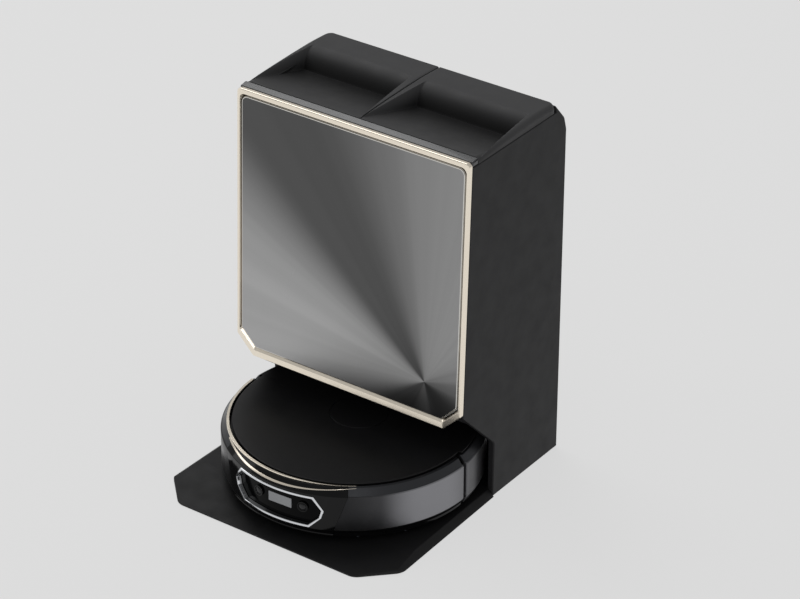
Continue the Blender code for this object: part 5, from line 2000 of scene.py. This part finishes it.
# ---- station inside
@dataclass
class ServiceBay:
    """Bag and motor behind the front panel, and the ribs of the wash board."""

    def bag(self) -> None:
        """Filled dust bag: swollen sides and pleats."""
        low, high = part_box("dust_bag")
        centre = (low + high) / 2
        half = (high - low) / 2
        loops = []
        for row in range(25):
            v = -1 + 2 * row / 24
            loop = []
            for step in range(72):
                a = math.tau * step / 72
                square = 1 / max(abs(math.cos(a)), abs(math.sin(a))) ** 0.82
                swell = (1 - abs(v) ** 5) ** 0.35 * 0.93 + 0.05
                crease = 1 - 0.012 * math.sin(9 * a + 3 * v) - 0.010 * math.sin(17 * a - 5 * v)
                loop.append((centre.x + half.x * min(1.0, square * swell * crease * 0.93) * math.cos(a),
                             centre.y + half.y * min(1.0, square * swell * crease * 0.93) * math.sin(a),
                             centre.z + half.z * v * 0.985))
            loops.append(loop)
        bag = Shape().loft(loops).build("filter_bag", BAG_CLOTH, Body.STATION, ["dust_bag"], 70)

    def motor(self) -> None:
        """Blower housing with a domed top and cooling fins."""
        low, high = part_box("suction_motor")
        centre = (low + high) / 2
        rings = [(0.0495, low.z), (0.0495, low.z + 0.012), (0.0440, low.z + 0.016), (0.0440, high.z - 0.030),
                 (0.0495, high.z - 0.026), (0.0495, high.z - 0.012), (0.0440, high.z - 0.003), (0.030, high.z)]
        loops = [hoop(r, (centre.x, centre.y), z, along_z, 72) for r, z in rings]
        Shape().loft(loops).build("blower_housing", CAST_METAL, Body.STATION, ["suction_motor"], 35)
        bar_row().run("blower_fins", CAST_METAL, Body.STATION, size=(0.093, 0.020, 0.0016), step=(0.0, 0.0, 0.0048),
                      start=(centre.x, centre.y, low.z + 0.024), count=11)

    def build(self) -> None:
        """Build the pieces of the bay."""
        self.bag()
        self.motor()
        low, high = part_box("wash_board")
        ribs = 24
        pitch = (high.x - low.x - 0.02) / ribs
        bar_row().run("wash_ribs", HUB_ABS, Body.STATION, size=(0.0016, 0.10, 0.0008), step=(pitch, 0.0, 0.0),
                      start=(low.x + 0.01 + pitch / 2, (low.y + high.y) / 2, 0.0071), count=ribs)


# Nodes of the frame whose shape is right, by the finish that they get.
KEPT_NODES = (
    (INNER_ABS, "robot_chassis caster_fork wash_board garage_roof garage_back_wall tank_shelf contact_housing "
                "power_inlet"),
    (PUMP_ABS, "suspension_arm_left suspension_arm_right mop_carriage water_pump dryer_fan"),
    (TYRE_RUBBER, "caster_wheel foot_front foot_rear"), (HUB_ABS, "mop_plate_left mop_plate_right"),
    (BOARD, "control_board main_board"), (CONTACT, "charging_pin_left charging_pin_right"),
    (CLEAR_TANK, "clean_tank"), (SMOKE_TANK, "dirty_tank dust_bin"), (BOTTLE_PE, "detergent_bottle"),
    (CELL_WRAP, "battery"), (CAST_METAL, "suction_fan"))


# ---- studio
@dataclass
class Studio:
    """Pale floor, soft lights and the camera."""

    target: Point = (0.0, 0.0944, 0.2217)
    distance: float = 4.306
    azimuth: float = 35.77
    elevation: float = 30.28
    roll: float = 0.16
    lens: float = 145.4
    glow: float = 0.625

    def aim(self, item: Item, target: Point) -> None:
        """Turn an object's -Z axis to a point."""
        item.rotation_euler = (Vector(target) - item.location).to_track_quat("-Z", "Y").to_euler()

    def build_floor(self) -> None:
        """Wide matte floor with faint mottling."""
        size = 14.0
        mesh = bpy.data.meshes.new("floor")
        mesh.from_pydata([(-size, -size, 0), (size, -size, 0), (size, size, 0), (-size, size, 0)], [], [(0, 1, 2, 3)])
        item = new_item("floor", mesh)
        paper = Finish("back lit studio paper", "", "6f6f6f", 0.9, mottle=0.004, grain=0.0, wear=0.0, specular=0.0)
        sheet = paper.material()
        shader = sheet.node_tree.nodes["Principled BSDF"]
        shader.inputs["Emission Color"].default_value = (1.0, 1.0, 1.0, 1.0)
        shader.inputs["Emission Strength"].default_value = self.glow
        mesh.materials.append(sheet)

    def light(self, name: str, spot: Point, size: Flat, power: float, target: Point, colour: str = "ffffff") -> None:
        """Add a soft area light.

        Args:
            name: Name of the light.
            spot: Where it hangs.
            size: Its width and height.
            power: Watts.
            target: Point it looks at.
            colour: sRGB hex colour.
        """
        lamp = bpy.data.lights.new(name, "AREA")
        lamp.shape = "RECTANGLE"
        lamp.size, lamp.size_y = size
        lamp.energy = power
        lamp.color = linear(colour)[:3]
        item = new_item(name, lamp)
        item.location = spot
        self.aim(item, target)

    def build_camera(self) -> None:
        """Long lens camera at the angle of the view from above right."""
        camera = bpy.data.cameras.new("camera")
        camera.lens = self.lens
        camera.sensor_width = 36.0
        camera.clip_end = 50.0
        item = new_item("camera", camera)
        a, e = math.radians(self.azimuth), math.radians(self.elevation)
        back = Vector((math.sin(a) * math.cos(e), -math.cos(a) * math.cos(e), math.sin(e)))
        item.location = Vector(self.target) + back * self.distance
        turn = (-back).to_track_quat("-Z", "Y").to_matrix().to_4x4() @ Matrix.Rotation(math.radians(self.roll), 4, "Z")
        item.rotation_euler = turn.to_euler()
        bpy.context.scene.camera = item

    def build_world(self) -> None:
        """Even pale surroundings."""
        world = bpy.data.worlds.new("studio")
        world.use_nodes = True
        ground = world.node_tree.nodes["Background"]
        ground.inputs["Color"].default_value = linear("f2f2f2")
        ground.inputs["Strength"].default_value = 0.45
        bpy.context.scene.world = world

    def build(self) -> None:
        """Build the studio."""
        self.build_floor()
        self.build_world()
        self.light("key_overhead", (-1.6, 0.9, 3.0), (2.0, 2.0), 26.0, (0.0, 0.0, 0.2))
        self.light("left_bank", (-2.8, -1.2, 1.6), (1.2, 2.0), 8.0, (0.0, 0.0, 0.3))
        self.light("right_strip", (1.9, -2.4, 1.7), (0.5, 1.8), 5.0, (0.0, 0.0, 0.3))
        self.build_camera()
        bpy.context.scene.view_settings.view_transform = "Standard"


def main() -> None:
    """Build every sub-assembly in order."""
    logging.basicConfig(level=logging.INFO, format="%(name)s %(message)s")
    StationShell().build()
    FRONT.build()
    TankLid(Side.LEFT, Body.CLEAN_LID, "clean_tank_lid").build()
    TankLid(Side.RIGHT, Body.DIRTY_LID, "dirty_tank_lid").build()
    RobotShell().build()
    Bumper().build()
    CAMERA.build()
    RunningGear().build()
    MopPads().build()
    ServiceBay().build()
    for finish, nodes in KEPT_NODES:
        for node in nodes.split():
            redress(node, finish)
    Studio().build()


if __name__ == "__main__":
    main()
